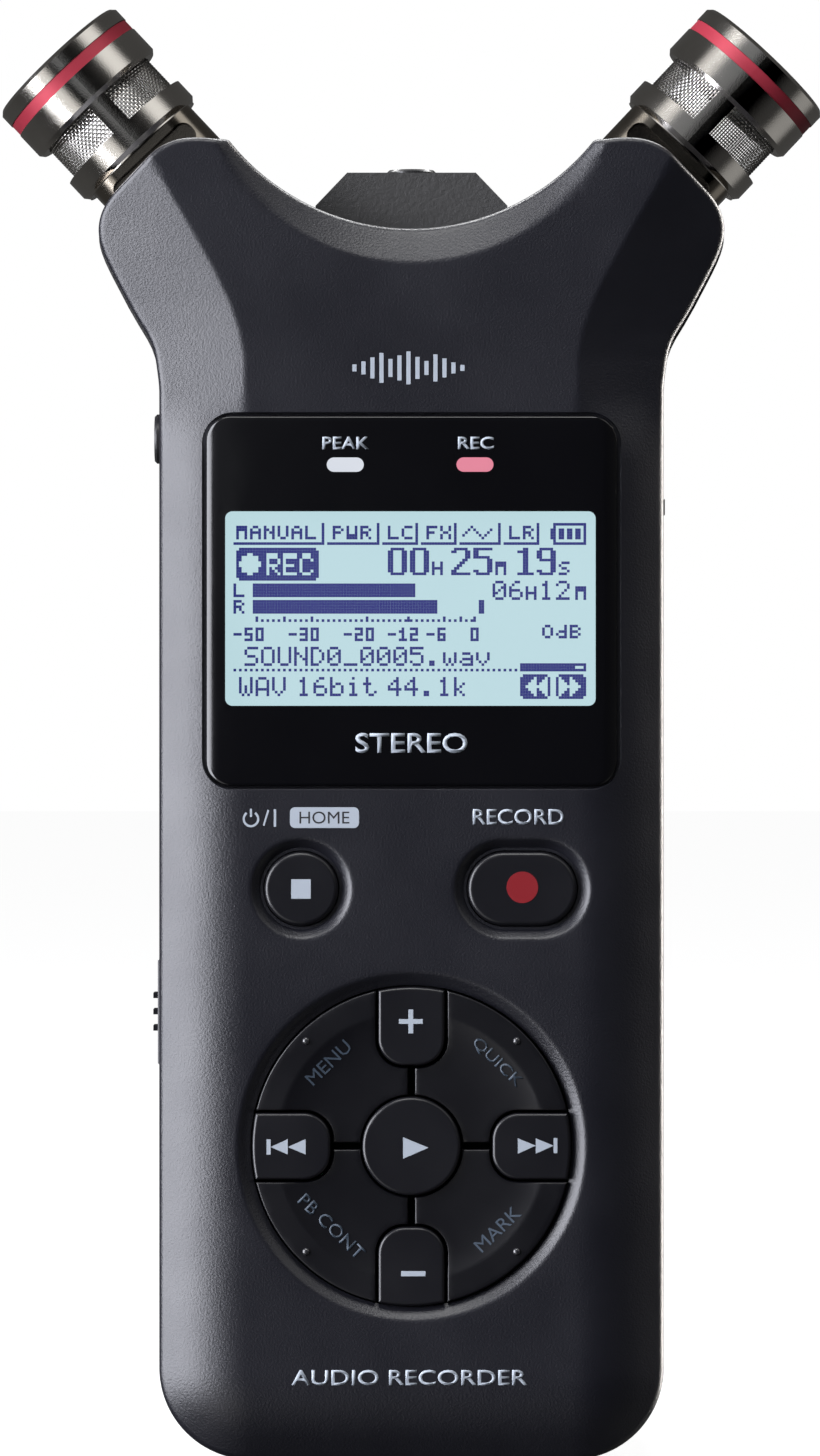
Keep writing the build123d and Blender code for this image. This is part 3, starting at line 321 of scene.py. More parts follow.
def inside(points, poly):
    """Even-odd test of points (n, 2) in a polygon (m, 2)."""
    poly = np.asarray(poly, float)
    x, y = points[:, 0], points[:, 1]
    result = np.zeros(len(points), bool)
    j = len(poly) - 1
    for i in range(len(poly)):
        xi, yi = poly[i]
        xj, yj = poly[j]
        with np.errstate(divide="ignore", invalid="ignore"):
            cross = (xj - xi) * (y - yi) / (yj - yi + 1e-30) + xi
        result ^= ((yi > y) != (yj > y)) & (x < cross)
        j = i
    return result


def within(points, loops):
    """Points inside the first loop and outside the others."""
    result = inside(points, loops[0])
    for hole in loops[1:]:
        result &= ~inside(points, hole)
    return result


def resample(poly, step, closed=True):
    """Points at about the given spacing along a polyline, keeping its corners."""
    poly = [np.asarray(p, float) for p in poly]
    out = []
    count = len(poly)
    for i in range(count if closed else count - 1):
        a, b = poly[i], poly[(i + 1) % count]
        parts = max(1, int(math.ceil(np.linalg.norm(b - a) / step - 1e-9)))
        for j in range(parts):
            out.append(a + (b - a) * j / parts)
    if not closed:
        out.append(poly[-1])
    return np.array(out)


def signed_area(poly):
    p = np.asarray(poly)
    q = np.roll(p, -1, 0)
    return 0.5 * (p[:, 0] * q[:, 1] - q[:, 0] * p[:, 1]).sum()


def offset_points(poly, gap, inward):
    """Points a gap away from a closed polygon on its inner or outer side."""
    p = np.asarray(poly, float)
    if signed_area(p) < 0:
        p = p[::-1]
    tangent = np.roll(p, -1, 0) - np.roll(p, 1, 0)
    tangent /= np.linalg.norm(tangent, axis=1)[:, None] + 1e-12
    normal = np.stack([-tangent[:, 1], tangent[:, 0]], 1)
    q = p + normal * (gap if inward else -gap)
    return q[seg_dist(q, p) > 0.92 * gap]


def triangulate(points, edges, loops):
    """Constrained triangles within the loops, counter-clockwise in (x, z)."""
    verts, _, tris, _, _, _ = delaunay_2d_cdt([Vector(p) for p in points], edges, [], 0, 1e-5)
    verts = np.array([tuple(v) for v in verts])
    tris = np.array([t for t in tris if len(t) == 3])
    tris = tris[within(verts[tris].mean(1), loops)]
    a, b, c = (verts[tris[:, k]] for k in range(3))
    turn = ((b[:, 0] - a[:, 0]) * (c[:, 1] - a[:, 1])
            - (c[:, 0] - a[:, 0]) * (b[:, 1] - a[:, 1]))
    tris[turn < 0] = tris[turn < 0][:, ::-1]
    return verts, tris


def relief(outer, holes, fall, y_face, y_back, spacing, rings=(), hole_rings=(), extra=None):
    """A closed solid in mm: a sheet over the area inside outer and outside the holes, at
    y = y_face + fall(points), with straight walls back to y_back. rings are the distances
    of the rows of points along the edges, spacing that of the points between them."""
    loops = [np.asarray(loop, float) for loop in (outer, *holes)]
    parts = list(loops)
    for i, loop in enumerate(loops):
        for gap in (hole_rings if i else rings):
            q = offset_points(loop, gap, inward=(i == 0))
            keep = np.ones(len(q), bool)
            for j, other in enumerate(loops):
                if j != i:
                    keep &= seg_dist(q, other) > 0.5 * gap + 0.05
            if i == 0:
                keep &= inside(q, loop)
            parts.append(q[keep])
    reach = max(rings, default=0.0) + spacing * 0.45

    def clear_of_edges(q):
        q = q[within(q, loops)]
        return q[np.min([seg_dist(q, loop) for loop in loops], axis=0) > reach]

    low, high = loops[0].min(0), loops[0].max(0)
    xs = np.arange(low[0], high[0] + spacing, spacing)
    zs = np.arange(low[1], high[1] + spacing, spacing * 0.866)
    grid_x, grid_z = np.meshgrid(xs, zs)
    grid_x = grid_x + (np.arange(len(zs)) % 2)[:, None] * spacing * 0.5
    if extra is not None:
        parts.append(clear_of_edges(extra))
    parts.append(clear_of_edges(np.stack([grid_x.ravel(), grid_z.ravel()], 1)))

    edges, base = [], 0
    for loop in loops:
        count = len(loop)
        edges += [(base + i, base + (i + 1) % count) for i in range(count)]
        base += count
    flat, tris = triangulate(np.concatenate(parts), edges, loops)
    used = np.unique(tris)
    renumber = -np.ones(len(flat), int)
    renumber[used] = np.arange(len(used))
    flat, tris = flat[used], renumber[tris]
    count = len(flat)
    front_sheet = np.stack([flat[:, 0], y_face + fall(flat), flat[:, 1]], 1)

    # Edges that only one triangle uses are the sheet's border
    sides = np.concatenate([tris[:, [0, 1]], tris[:, [1, 2]], tris[:, [2, 0]]])
    side_id = sides.min(1) * (count + 1) + sides.max(1)
    _, first, uses = np.unique(side_id, return_index=True, return_counts=True)
    border = sides[first[uses == 1]]
    rim = np.unique(border)
    # The back sheet spans the border points alone, so that hidden faces stay few
    rim_index = -np.ones(count, int)
    rim_index[rim] = np.arange(len(rim))
    back_flat = flat[rim]
    back_edges = [(int(rim_index[i]), int(rim_index[j])) for i, j in border]
    found, back_tris = triangulate(back_flat, back_edges, loops)
    if len(found) == len(back_flat):
        to_back = rim_index + count
    else:
        # The triangulation added or merged points, so the back copies the front sheet
        back_flat, back_tris = flat, tris
        to_back = np.arange(count) + count
    back_sheet = np.stack([back_flat[:, 0], np.full(len(back_flat), y_back),
                           back_flat[:, 1]], 1)
    faces = [tuple(int(i) for i in t) for t in tris]
    faces += [(int(j), int(i), int(to_back[i]), int(to_back[j])) for i, j in border]
    faces += [tuple(int(i) + count for i in t[::-1]) for t in back_tris]
    return np.concatenate([front_sheet, back_sheet]), faces


def flat_fall(points):
    return np.zeros(len(points))


def arc_pts(cx, cz, radius, start, end, n):
    """n + 1 points on an arc, angles in degrees."""
    angles = [math.radians(start + (end - start) * i / n) for i in range(n + 1)]
    return [(cx + radius * math.cos(a), cz + radius * math.sin(a)) for a in angles]


def circle_pts(cx, cz, radius, n):
    return np.array(arc_pts(cx, cz, radius, 0, 360, n)[:-1])


def stadium_pts(cx, cz, width, height, n):
    radius, reach = height / 2, (width - height) / 2
    p = arc_pts(cx + reach, cz, radius, -90, 90, n)
    p += arc_pts(cx - reach, cz, radius, 90, 270, n)
    return resample(p, 0.5)


def rrect_pts(cx, cz, width, height, radius, n=10):
    p = []
    for sx, sz, start in ((1, -1, -90), (1, 1, 0), (-1, 1, 90), (-1, -1, 180)):
        p += arc_pts(cx + sx * (width / 2 - radius), cz + sz * (height / 2 - radius),
                     radius, start, start + 90, n)
    return resample(p, 0.5)


def smoothstep(t):
    t = np.clip(t, 0, 1)
    return t * t * (3 - 2 * t)


def rounding(dist, radius):
    """Fall of a rounded edge at a distance from it."""
    u = np.clip(radius - dist, 0, radius)
    return radius - np.sqrt(np.maximum(radius * radius - u * u, 0))


def soft(u, ease):
    """Zero below u = 0 and u above it, with a soft bend between."""
    return 0.5 * (u + np.sqrt(u * u + ease * ease))


def box(low, high):
    """Cutter box between two corners in mm."""
    bm = bmesh.new()
    for v in bmesh.ops.create_cube(bm, size=1.0)["verts"]:
        v.co = Vector([(low[k] + high[k]) / 2 + v.co[k] * (high[k] - low[k])
                       for k in range(3)]) * MM
    return bm


def prism(poly, axis_a, axis_b, axis_n, low, high, origin=(0, 0, 0)):
    """Cutter over a polygon in the plane of axis_a and axis_b, low to high along axis_n."""
    bm = bmesh.new()
    o, a, b, n = (Vector(v) for v in (origin, axis_a, axis_b, axis_n))
    first, last = ([bm.verts.new((o + a * p[0] + b * p[1] + n * h) * MM) for p in poly]
                   for h in (low, high))
    count = len(poly)
    faces = []
    for i in range(count):
        j = (i + 1) % count
        faces.append(bm.faces.new((first[i], first[j], last[j], last[i])))
    faces.append(bm.faces.new(first[::-1]))
    faces.append(bm.faces.new(last))
    bmesh.ops.recalc_face_normals(bm, faces=faces)
    return bm


def solid_bm(verts, faces):
    """Cutter from vertices in mm and faces."""
    bm = bmesh.new()
    made = [bm.verts.new(q) for q in verts * MM]
    for face in faces:
        bm.faces.new([made[i] for i in face])
    return bm


def carve(target, cutters, operation):
    """Boolean of the target with a list of bmeshes, applied to its mesh."""
    coll = bpy.data.collections.new("cutters")
    COL.children.link(coll)
    made = []
    for i, bm in enumerate(cutters):
        mesh = bpy.data.meshes.new("cutter")
        bm.to_mesh(mesh)
        bm.free()
        mesh.materials.append(target.data.materials[0])
        cutter = bpy.data.objects.new(f"cutter_{i}", mesh)
        coll.objects.link(cutter)
        made.append(cutter)
    mod = target.modifiers.new("carve", "BOOLEAN")
    mod.operation = operation
    mod.operand_type = "COLLECTION"
    mod.collection = coll
    mod.solver = "EXACT"
    graph = bpy.context.evaluated_depsgraph_get()
    mesh = bpy.data.meshes.new_from_object(target.evaluated_get(graph), depsgraph=graph)
    target.modifiers.clear()
    old = target.data
    target.data = mesh
    bpy.data.meshes.remove(old)
    for cutter in made:
        bpy.data.objects.remove(cutter)
    bpy.data.collections.remove(coll)


# -------------------------------------------------------------- case outline
# Left half, as (x, z): the side from the bottom corner up, then the crown towards the middle
WAIST = [(-27.35, 115.6), (-27.6, 118.3), (-28.14, 120.9), (-29.57, 123.5), (-31.04, 126.1),
         (-32.45, 128.8), (-33.5, 131.1), (-33.94, 133.2), (-33.5, 135.4), (-31.8, 137.7)]
CROWN = [(-28.3, 141.2), (-26.8, 142.3), (-25.0, 142.95), (-22.9, 143.1)]
CORNER_X, CORNER_R = -17.35, 10         # bottom corner
HOLLOW_Z, HOLLOW_R = 158.70, 25.30      # arc that dips between the microphones
HOLLOW_START = (-19.58, 142.68)
HOLLOW_TANGENT = (16.02, -19.58)        # square to the arc's radius at its start


def cspline(pts, start_dir, end_dir, n=10):
    """Clamped cubic spline through points, with end directions."""
    p = np.array(pts, float)
    h = np.linalg.norm(np.diff(p, axis=0), axis=1)
    slope = np.diff(p, axis=0) / h[:, None]
    count = len(p)
    matrix = np.zeros((count, count))
    right = np.zeros((count, 2))
    matrix[0, 0] = matrix[-1, -1] = 1
    right[0] = np.array(start_dir) / np.linalg.norm(start_dir)
    right[-1] = np.array(end_dir) / np.linalg.norm(end_dir)
    for i in range(1, count - 1):
        matrix[i, i - 1:i + 2] = h[i], 2 * (h[i - 1] + h[i]), h[i - 1]
        right[i] = 3 * (h[i - 1] * slope[i] + h[i] * slope[i - 1])
    m = np.linalg.solve(matrix, right)
    out = []
    for i in range(count - 1):
        for s in np.linspace(0, 1, n, endpoint=False):
            out.append((2 * s**3 - 3 * s**2 + 1) * p[i] + (s**3 - 2 * s**2 + s) * h[i] * m[i]
                       + (-2 * s**3 + 3 * s**2) * p[i + 1] + (s**3 - s**2) * h[i] * m[i + 1])
    out.append(p[-1])
    return [tuple(q) for q in out]


def case_outline(step=0.6):
    """The whole outline, and the open path of its sides and bottom."""
    low = [(0.0, 0.0)] + arc_pts(CORNER_X, CORNER_R, CORNER_R, 270, 180, 24)
    low += cspline(WAIST, (0, 1), (1, 1))
    top = cspline(CROWN, (1, 1), (1, 0))
    top += cspline([top[-1], (-20.7, 142.95), HOLLOW_START], (1, 0), HOLLOW_TANGENT)[1:]
    start = math.degrees(math.atan2(HOLLOW_START[1] - HOLLOW_Z, HOLLOW_START[0]))
    top += arc_pts(0, HOLLOW_Z, HOLLOW_R, start, -90, 40)[1:]
    left = resample(low + top, step, closed=False)
    left[-1, 0] = 0.0
    right = left[::-1].copy()
    right[:, 0] *= -1
    poly = np.concatenate([left[:-1], right[:-1]])[1:]
    keep = np.linalg.norm(np.diff(poly, axis=0, append=poly[:1]), axis=1) > 0.02
    low = np.array(low)
    return poly[keep], np.concatenate([low[::-1], (low * [-1, 1])[1:]])


# ---------------------------------------------------------------- front shell
# Crease of the slanted upper facets: half width at each height
CREASE_X = np.array([18.0, 18.0, 18.5, 19.5, 21.4, 23.7, 26.0, 28.0, 30.2])
CREASE_Z = np.array([100.0, 119.4, 122.2, 125.2, 129.1, 133.2, 137.1, 140.7, 144.5])
BAND_R, BAND_Z = 23.5, 153.06       # round bevel under the hollow
WELL_R = 5.38                       # slopes around the stop and record holes
WELL_DEPTH_RUN = 0.95
RECORD_WELL_REACH = 1.94            # half length of the record well's straight part
PAD_WELL_R, PAD_WELL_RUN = 18.8, 1.4

front_poly, front_low = case_outline()
window_poly = rrect_pts(*WINDOW, *WINDOW_SIZE, 3.25)
stop_hole = circle_pts(*STOP, KEY_HOLE_R, 72)
record_hole = stadium_pts(*RECORD, RECORD_HOLE_W, 2 * KEY_HOLE_R, 26)
pad_hole = circle_pts(*PAD, PAD_HOLE_R, 180)


def side_fall(points):
    """Fall towards the sides and bottom of the lower case."""
    d = seg_dist(points, front_low, closed=False)
    return np.where(d < 2, 2.25 + 0.6 * (2 - d), 0.3 * np.maximum(0, 9.5 - d) ** 2 / 7.5)


def well(dist, radius, run):
    """Slope up to 1 mm deep that starts at a radius and is run wide."""
    return np.clip(soft(radius - dist, 0.18) / run, 0, 1)


def front_fall(points):
    """How far the front falls back from FACE_Y."""
    x, z = points[:, 0], points[:, 1]
    facet = 0.37 * soft(np.abs(x) - np.interp(z, CREASE_Z, CREASE_X), 0.12)
    upper = smoothstep((z - 108.0) / 8.0)
    side = (1 - upper) * side_fall(points) + upper * facet
    band = 0.45 * soft(BAND_R - np.hypot(x, z - BAND_Z), 0.10)
    fall = np.maximum(side, band) + rounding(seg_dist(points, front_poly), 0.55)
    fall = fall + well(np.hypot(x - STOP[0], z - STOP[1]), WELL_R, WELL_DEPTH_RUN)
    across = np.maximum(np.abs(x - RECORD[0]) - RECORD_WELL_REACH, 0)
    fall = fall + well(np.hypot(across, z - RECORD[1]), WELL_R, WELL_DEPTH_RUN)
    fall = fall + well(np.hypot(x - PAD[0], z - PAD[1]), PAD_WELL_R, PAD_WELL_RUN)
    return fall + rounding(seg_dist(points, window_poly), 0.14)


def crease_points():
    """Rows of points along the facet creases and the bevel, thinned where they crowd."""
    pts = []
    for side in (-1, 1):
        for z in np.arange(113.0, 142.6, 0.35):
            x = np.interp(z, CREASE_Z, CREASE_X)
            pts += [(side * (x + shift), z) for shift in (-0.3, 0.0, 0.3)]
    for degrees in np.arange(-152, -27.9, 0.9):
        a = math.radians(degrees)
        pts += [(r * math.cos(a), BAND_Z + r * math.sin(a)) for r in (23.2, BAND_R, 23.8)]
    pts = np.array(pts)
    keep = np.ones(len(pts), bool)
    for i in range(1, len(pts)):
        if np.min(np.hypot(*(pts[:i][keep[:i]] - pts[i]).T)) < 0.18:
            keep[i] = False
    return pts[keep]


def window_backing():
    """Sheet behind the window, with openings for the screen and the two lamps."""
    openings = [rrect_pts(0, 92.2, 41.4, 22.4, 0.8)]
    openings += [stadium_pts(x, 107.7, 4.18, 1.75, 8) for x in (-7.14, 6.84)]
    return relief(rrect_pts(*WINDOW, 45.3, 40.8, 3.4), openings, flat_fall,
                  y_face=-11.8, y_back=-10.4, spacing=4.0)


def shell_cutters():
    # Inside of the case, then a pocket that tapers towards the front
    half, top = 25.6, 127.0
    hollow = [(half, top), (-half, top)]
    hollow += arc_pts(-17.4, 10.0, 8.2, 180, 270, 12) + arc_pts(17.4, 10.0, 8.2, 270, 360, 12)
    taper = [(-half, -8.4), (-half, -9.2), (-18.9, -11.2), (18.9, -11.2), (half, -9.2),
             (half, -8.4)]
    cutters = [prism(hollow, AXIS_X, AXIS_Z, AXIS_Y, -8.7, 1.0),
               prism(taper, AXIS_X, AXIS_Y, AXIS_Z, 8.0, top)]
    # Rooms for the microphone barrels: round the pivot, leaning out, upright and leaning in
    room_r, y0, y1 = 7.35, -6.3, 8.3
    for side in (-1, 1):
        cutters.append(prism(circle_pts(side * MIC_X, MIC_Z, room_r, 96),
                             AXIS_X, AXIS_Z, AXIS_Y, y0, y1))
        for degrees in (MIC_TILT, 0.0, -45.0):
            a = math.radians(degrees)
            along = (side * math.sin(a), 0, math.cos(a))
            across = (side * math.cos(a), 0, -math.sin(a))
            cutters.append(prism([(0, -room_r), (16, -room_r), (16, room_r), (0, room_r)],
                                 along, across, AXIS_Y, y0, y1,
                                 origin=(side * MIC_X, 0, MIC_Z)))
    # Opening in the top between the microphones, and holes at the pivots
    cutters.append(box((-10.8, -6.35, 126), (10.8, 0.15, 142)))
    for side in (-1, 1):
        cutters.append(prism(circle_pts(side * MIC_X, MIC_Z, 2.52, 48),
                             AXIS_X, AXIS_Z, AXIS_Y, -8.7, -5.9))
    # Left side: round hole, shallow recess and the slot in it
    cutters += [prism(circle_pts(-1.0, 111.0, 2.85, 64), AXIS_Y, AXIS_Z, AXIS_X, -30, -24),
                box((-28.35, -2.7, 42.15), (-26.35, 2.7, 57.65)),
                box((-27.5, -0.95, 46.3), (-24.5, 0.95, 53.5))]
    # Right side: tall opening, and a thin round bore along its lower end
    cutters += [box((25, -3.7, 85.8), (29.5, 3.7, 104.9)),
                prism(circle_pts(26.70, 86.75, 0.47, 16), AXIS_X, AXIS_Z, AXIS_Y, -4.4, 4.4)]
    # Bottom: opening in the middle
    cutters.append(box((-4.3, -4.55, -1), (4.3, -0.85, 3)))
    return cutters


def build_front():
    verts, faces = relief(
        front_poly, [window_poly, stop_hole, record_hole, pad_hole], front_fall,
        y_face=FACE_Y, y_back=0.0, spacing=0.85,
        rings=(0.10, 0.25, 0.45, 0.62, 1.1, 1.7, 2.4),
        hole_rings=(0.12, 0.3, 0.6, 0.9, 1.15, 1.3, 1.5, 1.75), extra=crease_points())
    shell = mesh_object("front_shell_skin", verts, faces, MAT["case"], "case", smooth=False)
    carve(shell, [solid_bm(*window_backing())], "UNION")
    carve(shell, shell_cutters(), "DIFFERENCE")
    shade(shell.data, 30)
    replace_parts(shell, "front_shell")
    return shell


front = build_front()

# ------------------------------------------------------------ window and screen
lens_poly = rrect_pts(*WINDOW, 44.35, 39.9, 2.66)
screen_poly = rrect_pts(*SCREEN, *SCREEN_SIZE, 0.78)
lamp_polys = [stadium_pts(*lamp, *LAMP_SIZE, 12) for lamp in LAMPS]


def lens_fall(points):
    """Rounded rim, and a slope down at the left and right edges."""
    slope = 0.40 * soft(np.abs(points[:, 0]) - 21.0, 0.55)
    return rounding(seg_dist(points, lens_poly), 0.22) + slope


def inset(poly, gap):
    """The outline drawn in by a gap on each side."""
    middle = np.asarray(poly).mean(0)
    q = np.asarray(poly) - middle
    return q * (1 - gap / np.abs(q).max(0)) + middle


verts, faces = relief(
    lens_poly, [screen_poly] + lamp_polys, lens_fall, y_face=LENS_Y, y_back=-11.95,
    spacing=2.0, rings=(0.04, 0.10, 0.20, 0.34, 0.60, 0.85, 1.05, 1.25, 1.45, 1.7))
lens = mesh_object("display_window_border", verts, faces, MAT["lens"], "case")
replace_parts(lens, "display_window")

# Flat panes in the border's openings: name, outline, back y, material
for name, poly, y_back, mat in (
        ("display_window_pane", inset(screen_poly, 0.004), -12.35, "clear"),
        ("peak_lamp_window", inset(lamp_polys[0], 0.01), -12.0, "peak"),
        ("rec_lamp_window", inset(lamp_polys[1], 0.01), -12.0, "rec")):
    verts, faces = relief(poly, [], flat_fall, y_face=-12.93, y_back=y_back, spacing=3.0)
    mesh_object(name, verts, faces, MAT[mat], "case")

# ---------------------------------------------------------------- screen dots
# Extent of the dot grid
DOTS_LEFT, DOTS_RIGHT = -19.25373, 18.89347
DOTS_BOTTOM, DOTS_TOP = 82.48835, 101.52410
DOT_MARGIN = 0.008      # gap at each edge of a dot, as a share of the pitch

# 5 x 7 letters: two hex digits per column, lowest bit at the top
FONT57 = {
    "0": "3E5149453E", "1": "00427F4000", "2": "4261514946", "4": "1814127F10",
    "5": "2745454539", "6": "3C4A494930", "A": "7E1111117E", "V": "1F2040201F",
    "W": "3F4038403F", "D": "7F4141221C", "R": "7F09192946", "S": "4649494931",
    "O": "3E4141413E", "U": "3F4040403F", "N": "7F0408107F", "E": "7F49494941",
    "C": "3E41414122", "a": "2054545478", "b": "7F48444438", "i": "00447D4000",
    "k": "7F10284400", "t": "043F444020", "v": "1C2040201C", "w": "3C4030403C",
    "_": "4040404040", ".": "0060600000",
}
# 3 x 5 and 4 x 5 letters, row by row
FONT35 = {
    "0": "111 101 101 101 111", "1": "010 110 010 010 111", "2": "111 001 111 100 111",
    "3": "111 001 111 001 111", "5": "111 100 111 001 111", "6": "111 100 111 101 111",
    "-": "000 000 111 000 000",
}
FONT45 = {
    "M": "1111 1111 1001 1001 1001", "A": "0110 1001 1111 1001 1001",
    "N": "1001 1101 1011 1001 1001", "U": "1001 1001 1001 1001 0110",
    "L": "1000 1000 1000 1000 1111", "P": "1110 1001 1110 1000 1000",
    "W": "1001 1001 1001 1111 1111", "R": "1110 1001 1110 1010 1001",
    "C": "0111 1000 1000 1000 0111", "F": "1111 1000 1110 1000 1000",
    "X": "1001 1001 0110 1001 1001", "H": "1001 1001 1111 1001 1001",
    "S": "0111 1000 0110 0001 1110", "0": "0110 1001 1001 1001 0110",
    "d": "0001 0001 0111 1001 0111", "B": "1110 1001 1110 1001 1110",
}
# 7 x 10 digits: one number per row, highest bit at the left
BIG = {
    "0": (62, 99, 99, 99, 99, 99, 99, 99, 99, 62), "1": (12, 60, 12, 12, 12, 12, 12, 12, 12, 63),
    "2": (62, 99, 3, 3, 6, 12, 24, 48, 96, 127), "5": (127, 96, 96, 126, 3, 3, 3, 3, 99, 62),
    "9": (62, 99, 99, 99, 63, 3, 3, 3, 99, 62),
}
grid = np.zeros((64, 128), bool)    # lit dots, by row from the top and column


def stamp(glyph, column, row, lit=True):
    rows, columns = np.nonzero(glyph)
    grid[row + rows, column + columns] = lit


def put57(text, column, row, lit=True, height=7):
    for k, ch in enumerate(text):
        bits = bytes.fromhex(FONT57[ch])
        glyph = [[b >> (j * 7 // height) & 1 for b in bits] for j in range(height)]
        stamp(glyph, column + 6 * k, row, lit)


def put_rows(font, text, column, row):
    for k, ch in enumerate(text):
        glyph = [[b == "1" for b in line] for line in font[ch].split()]
        stamp(glyph, column + (len(glyph[0]) + 1) * k, row)


def draw_status_rows():
    # Tabs of the top row: word, its column, first and last column of the tab
    for word, column, first, last in (("MANUAL", 1, 0, 32), ("PWR", 36, 34, 52),
                                      ("LC", 56, 54, 66), ("FX", 70, 68, 80),
                                      ("", 0, 82, 96), ("LR", 100, 98, 110)):
        put_rows(FONT45, word, column, 1)
        grid[7, first:last + 1] = True
        grid[0:8, last] = True
    # Wave in the wordless tab
    for i, row in enumerate((4, 3, 2, 1, 2, 3, 4, 5, 4, 3, 2)):
        grid[row, 83 + i] = True
    # Battery with three bars
    grid[0, 116:128] = grid[7, 116:128] = True
    grid[0:8, 116] = grid[0:8, 127] = True
    grid[2:6, 115] = True
    for column in (118, 121, 124):
        grid[2:6, column:column + 2] = True
    # Block with a round spot and a word left dark
    grid[9:21, 1:31] = True
    grid[9, 1] = grid[9, 30] = grid[20, 1] = grid[20, 30] = False
    for row in range(11, 19):
        for column in range(2, 10):
            if (row - 14.5) ** 2 + (column - 5.5) ** 2 < 14.5:
                grid[row, column] = False
    put57("REC", 12, 11, lit=False, height=8)
    # Counter
    for ch, column in (("0", 56), ("0", 64), ("2", 79), ("5", 87), ("1", 102), ("9", 110)):
        stamp([[bits >> (6 - i) & 1 for i in range(7)] for bits in BIG[ch]], column, 9)
    for ch, column in (("H", 72), ("M", 95), ("S", 118)):
        put_rows(FONT45, ch, column, 14)


def draw_meter_rows():
    put_rows(FONT45, "L", 0, 22)
    put_rows(FONT45, "R", 0, 28)
    grid[22:27, 7:66] = True
    grid[28:33, 7:74] = True
    grid[28:33, 89:91] = True
    for ch, column in (("0", 94), ("6", 100), ("1", 111), ("2", 117)):
        put57(ch, column, 21)
    put_rows(FONT45, "H", 106, 23)
    put_rows(FONT45, "M", 124, 23)
    # Scale with its ticks and numbers
    grid[35, 8:88:2] = True
    for column in (8, 18, 28, 48, 63, 76, 82, 87):
        grid[34:36, column] = True
    for text, column in (("-50", 0), ("-30", 20), ("-20", 40), ("-12", 56), ("-6", 70),
                         ("0", 86)):
        put_rows(FONT35, text, column, 38)
    put_rows(FONT45, "0dB", 112, 37)


def draw_file_rows():
    put57("SOUND0_0005.wav", 4, 45)
    grid[53, 0:103:2] = True
    grid[51:54, 104:128] = True
    grid[52, 124:127] = False
    for text, column in (("WAV", 2), ("16bit", 23), ("44.1k", 56)):
        put57(text, column, 56)
    # Two blocks with dark double arrows: first column, column of the first arrow's tip, step
    for first, tip, step in ((104, 106, 1), (117, 125, -1)):
        grid[55:64, first:first + 11] = True
        for row in (55, 63):
            grid[row, first] = grid[row, first + 10] = False
        for arrow in range(2):
            for k in range(4):
                grid[59 - k:60 + k, tip + step * (arrow * 4 + k)] = False


def build_dots():
    """One thin box per lit dot."""
    width, height = (DOTS_RIGHT - DOTS_LEFT) / 128, (DOTS_TOP - DOTS_BOTTOM) / 64
    near, far = DOT_MARGIN, 1 - DOT_MARGIN
    box_faces = ((0, 1, 2, 3), (7, 6, 5, 4), (0, 4, 5, 1), (1, 5, 6, 2), (2, 6, 7, 3),
                 (3, 7, 4, 0))
    verts, faces = [], []
    for row, column in zip(*np.nonzero(grid)):
        x0, x1 = DOTS_LEFT + (column + near) * width, DOTS_LEFT + (column + far) * width
        z1, z0 = DOTS_TOP - (row + near) * height, DOTS_TOP - (row + far) * height
        base = len(verts)
        for y in (DOTS_Y - 0.03, DOTS_Y - 0.01):
            verts += [(x0, y, z0), (x1, y, z0), (x1, y, z1), (x0, y, z1)]
        faces += [tuple(base + i for i in face) for face in box_faces]
    mesh_object("screen_dots", verts, faces, MAT["dots"], "case", smooth=False)


draw_status_rows()
draw_meter_rows()
draw_file_rows()
build_dots()

# --------------------------------------------------------------- corner keys
CORNER_HALF = 3.88      # half the width left to the direction keys
CORNER_START = 8.43     # where the corner key's notches begin, from the pad's middle
CORNER_GAP = 0.38       # half the gap between neighbouring corner keys
CORNER_R_OUT, CORNER_R_IN = 17.20, 5.55
PIP_OUT = 11.37         # pip's distance from the pad's middle, along x and along z


def corner_outline():
    """Outline of the upper right corner key about the pad's middle."""
    half, start, gap = CORNER_HALF, CORNER_START, CORNER_GAP
    r = half * 0.8
    inner = math.sqrt(CORNER_R_IN**2 - gap**2)

    def notch(degrees):
        a = math.radians(degrees)
        return start + r - r * math.cos(a), half - r + r * math.sin(a)

    p = [(inner, gap), (start, gap)]
    p += [notch(a) for a in np.linspace(0, 90, 16)]
    edge = math.degrees(math.asin(half / CORNER_R_OUT))
    p += arc_pts(0, 0, CORNER_R_OUT, edge, 90 - edge, 44)
    p += [notch(a)[::-1] for a in np.linspace(90, 0, 16)]
    p += [(gap, start), (gap, inner)]
    edge = math.degrees(math.asin(gap / CORNER_R_IN))
    p += arc_pts(0, 0, CORNER_R_IN, 90 - edge, edge, 24)[1:-1]
    return p


def dish(radius):
    """Depth of the shallow dish in the corner keys at a radius from the pad's middle."""
    return 0.55 * np.clip(1 - (np.asarray(radius, float) / 14.5) ** 6, 0, 1)


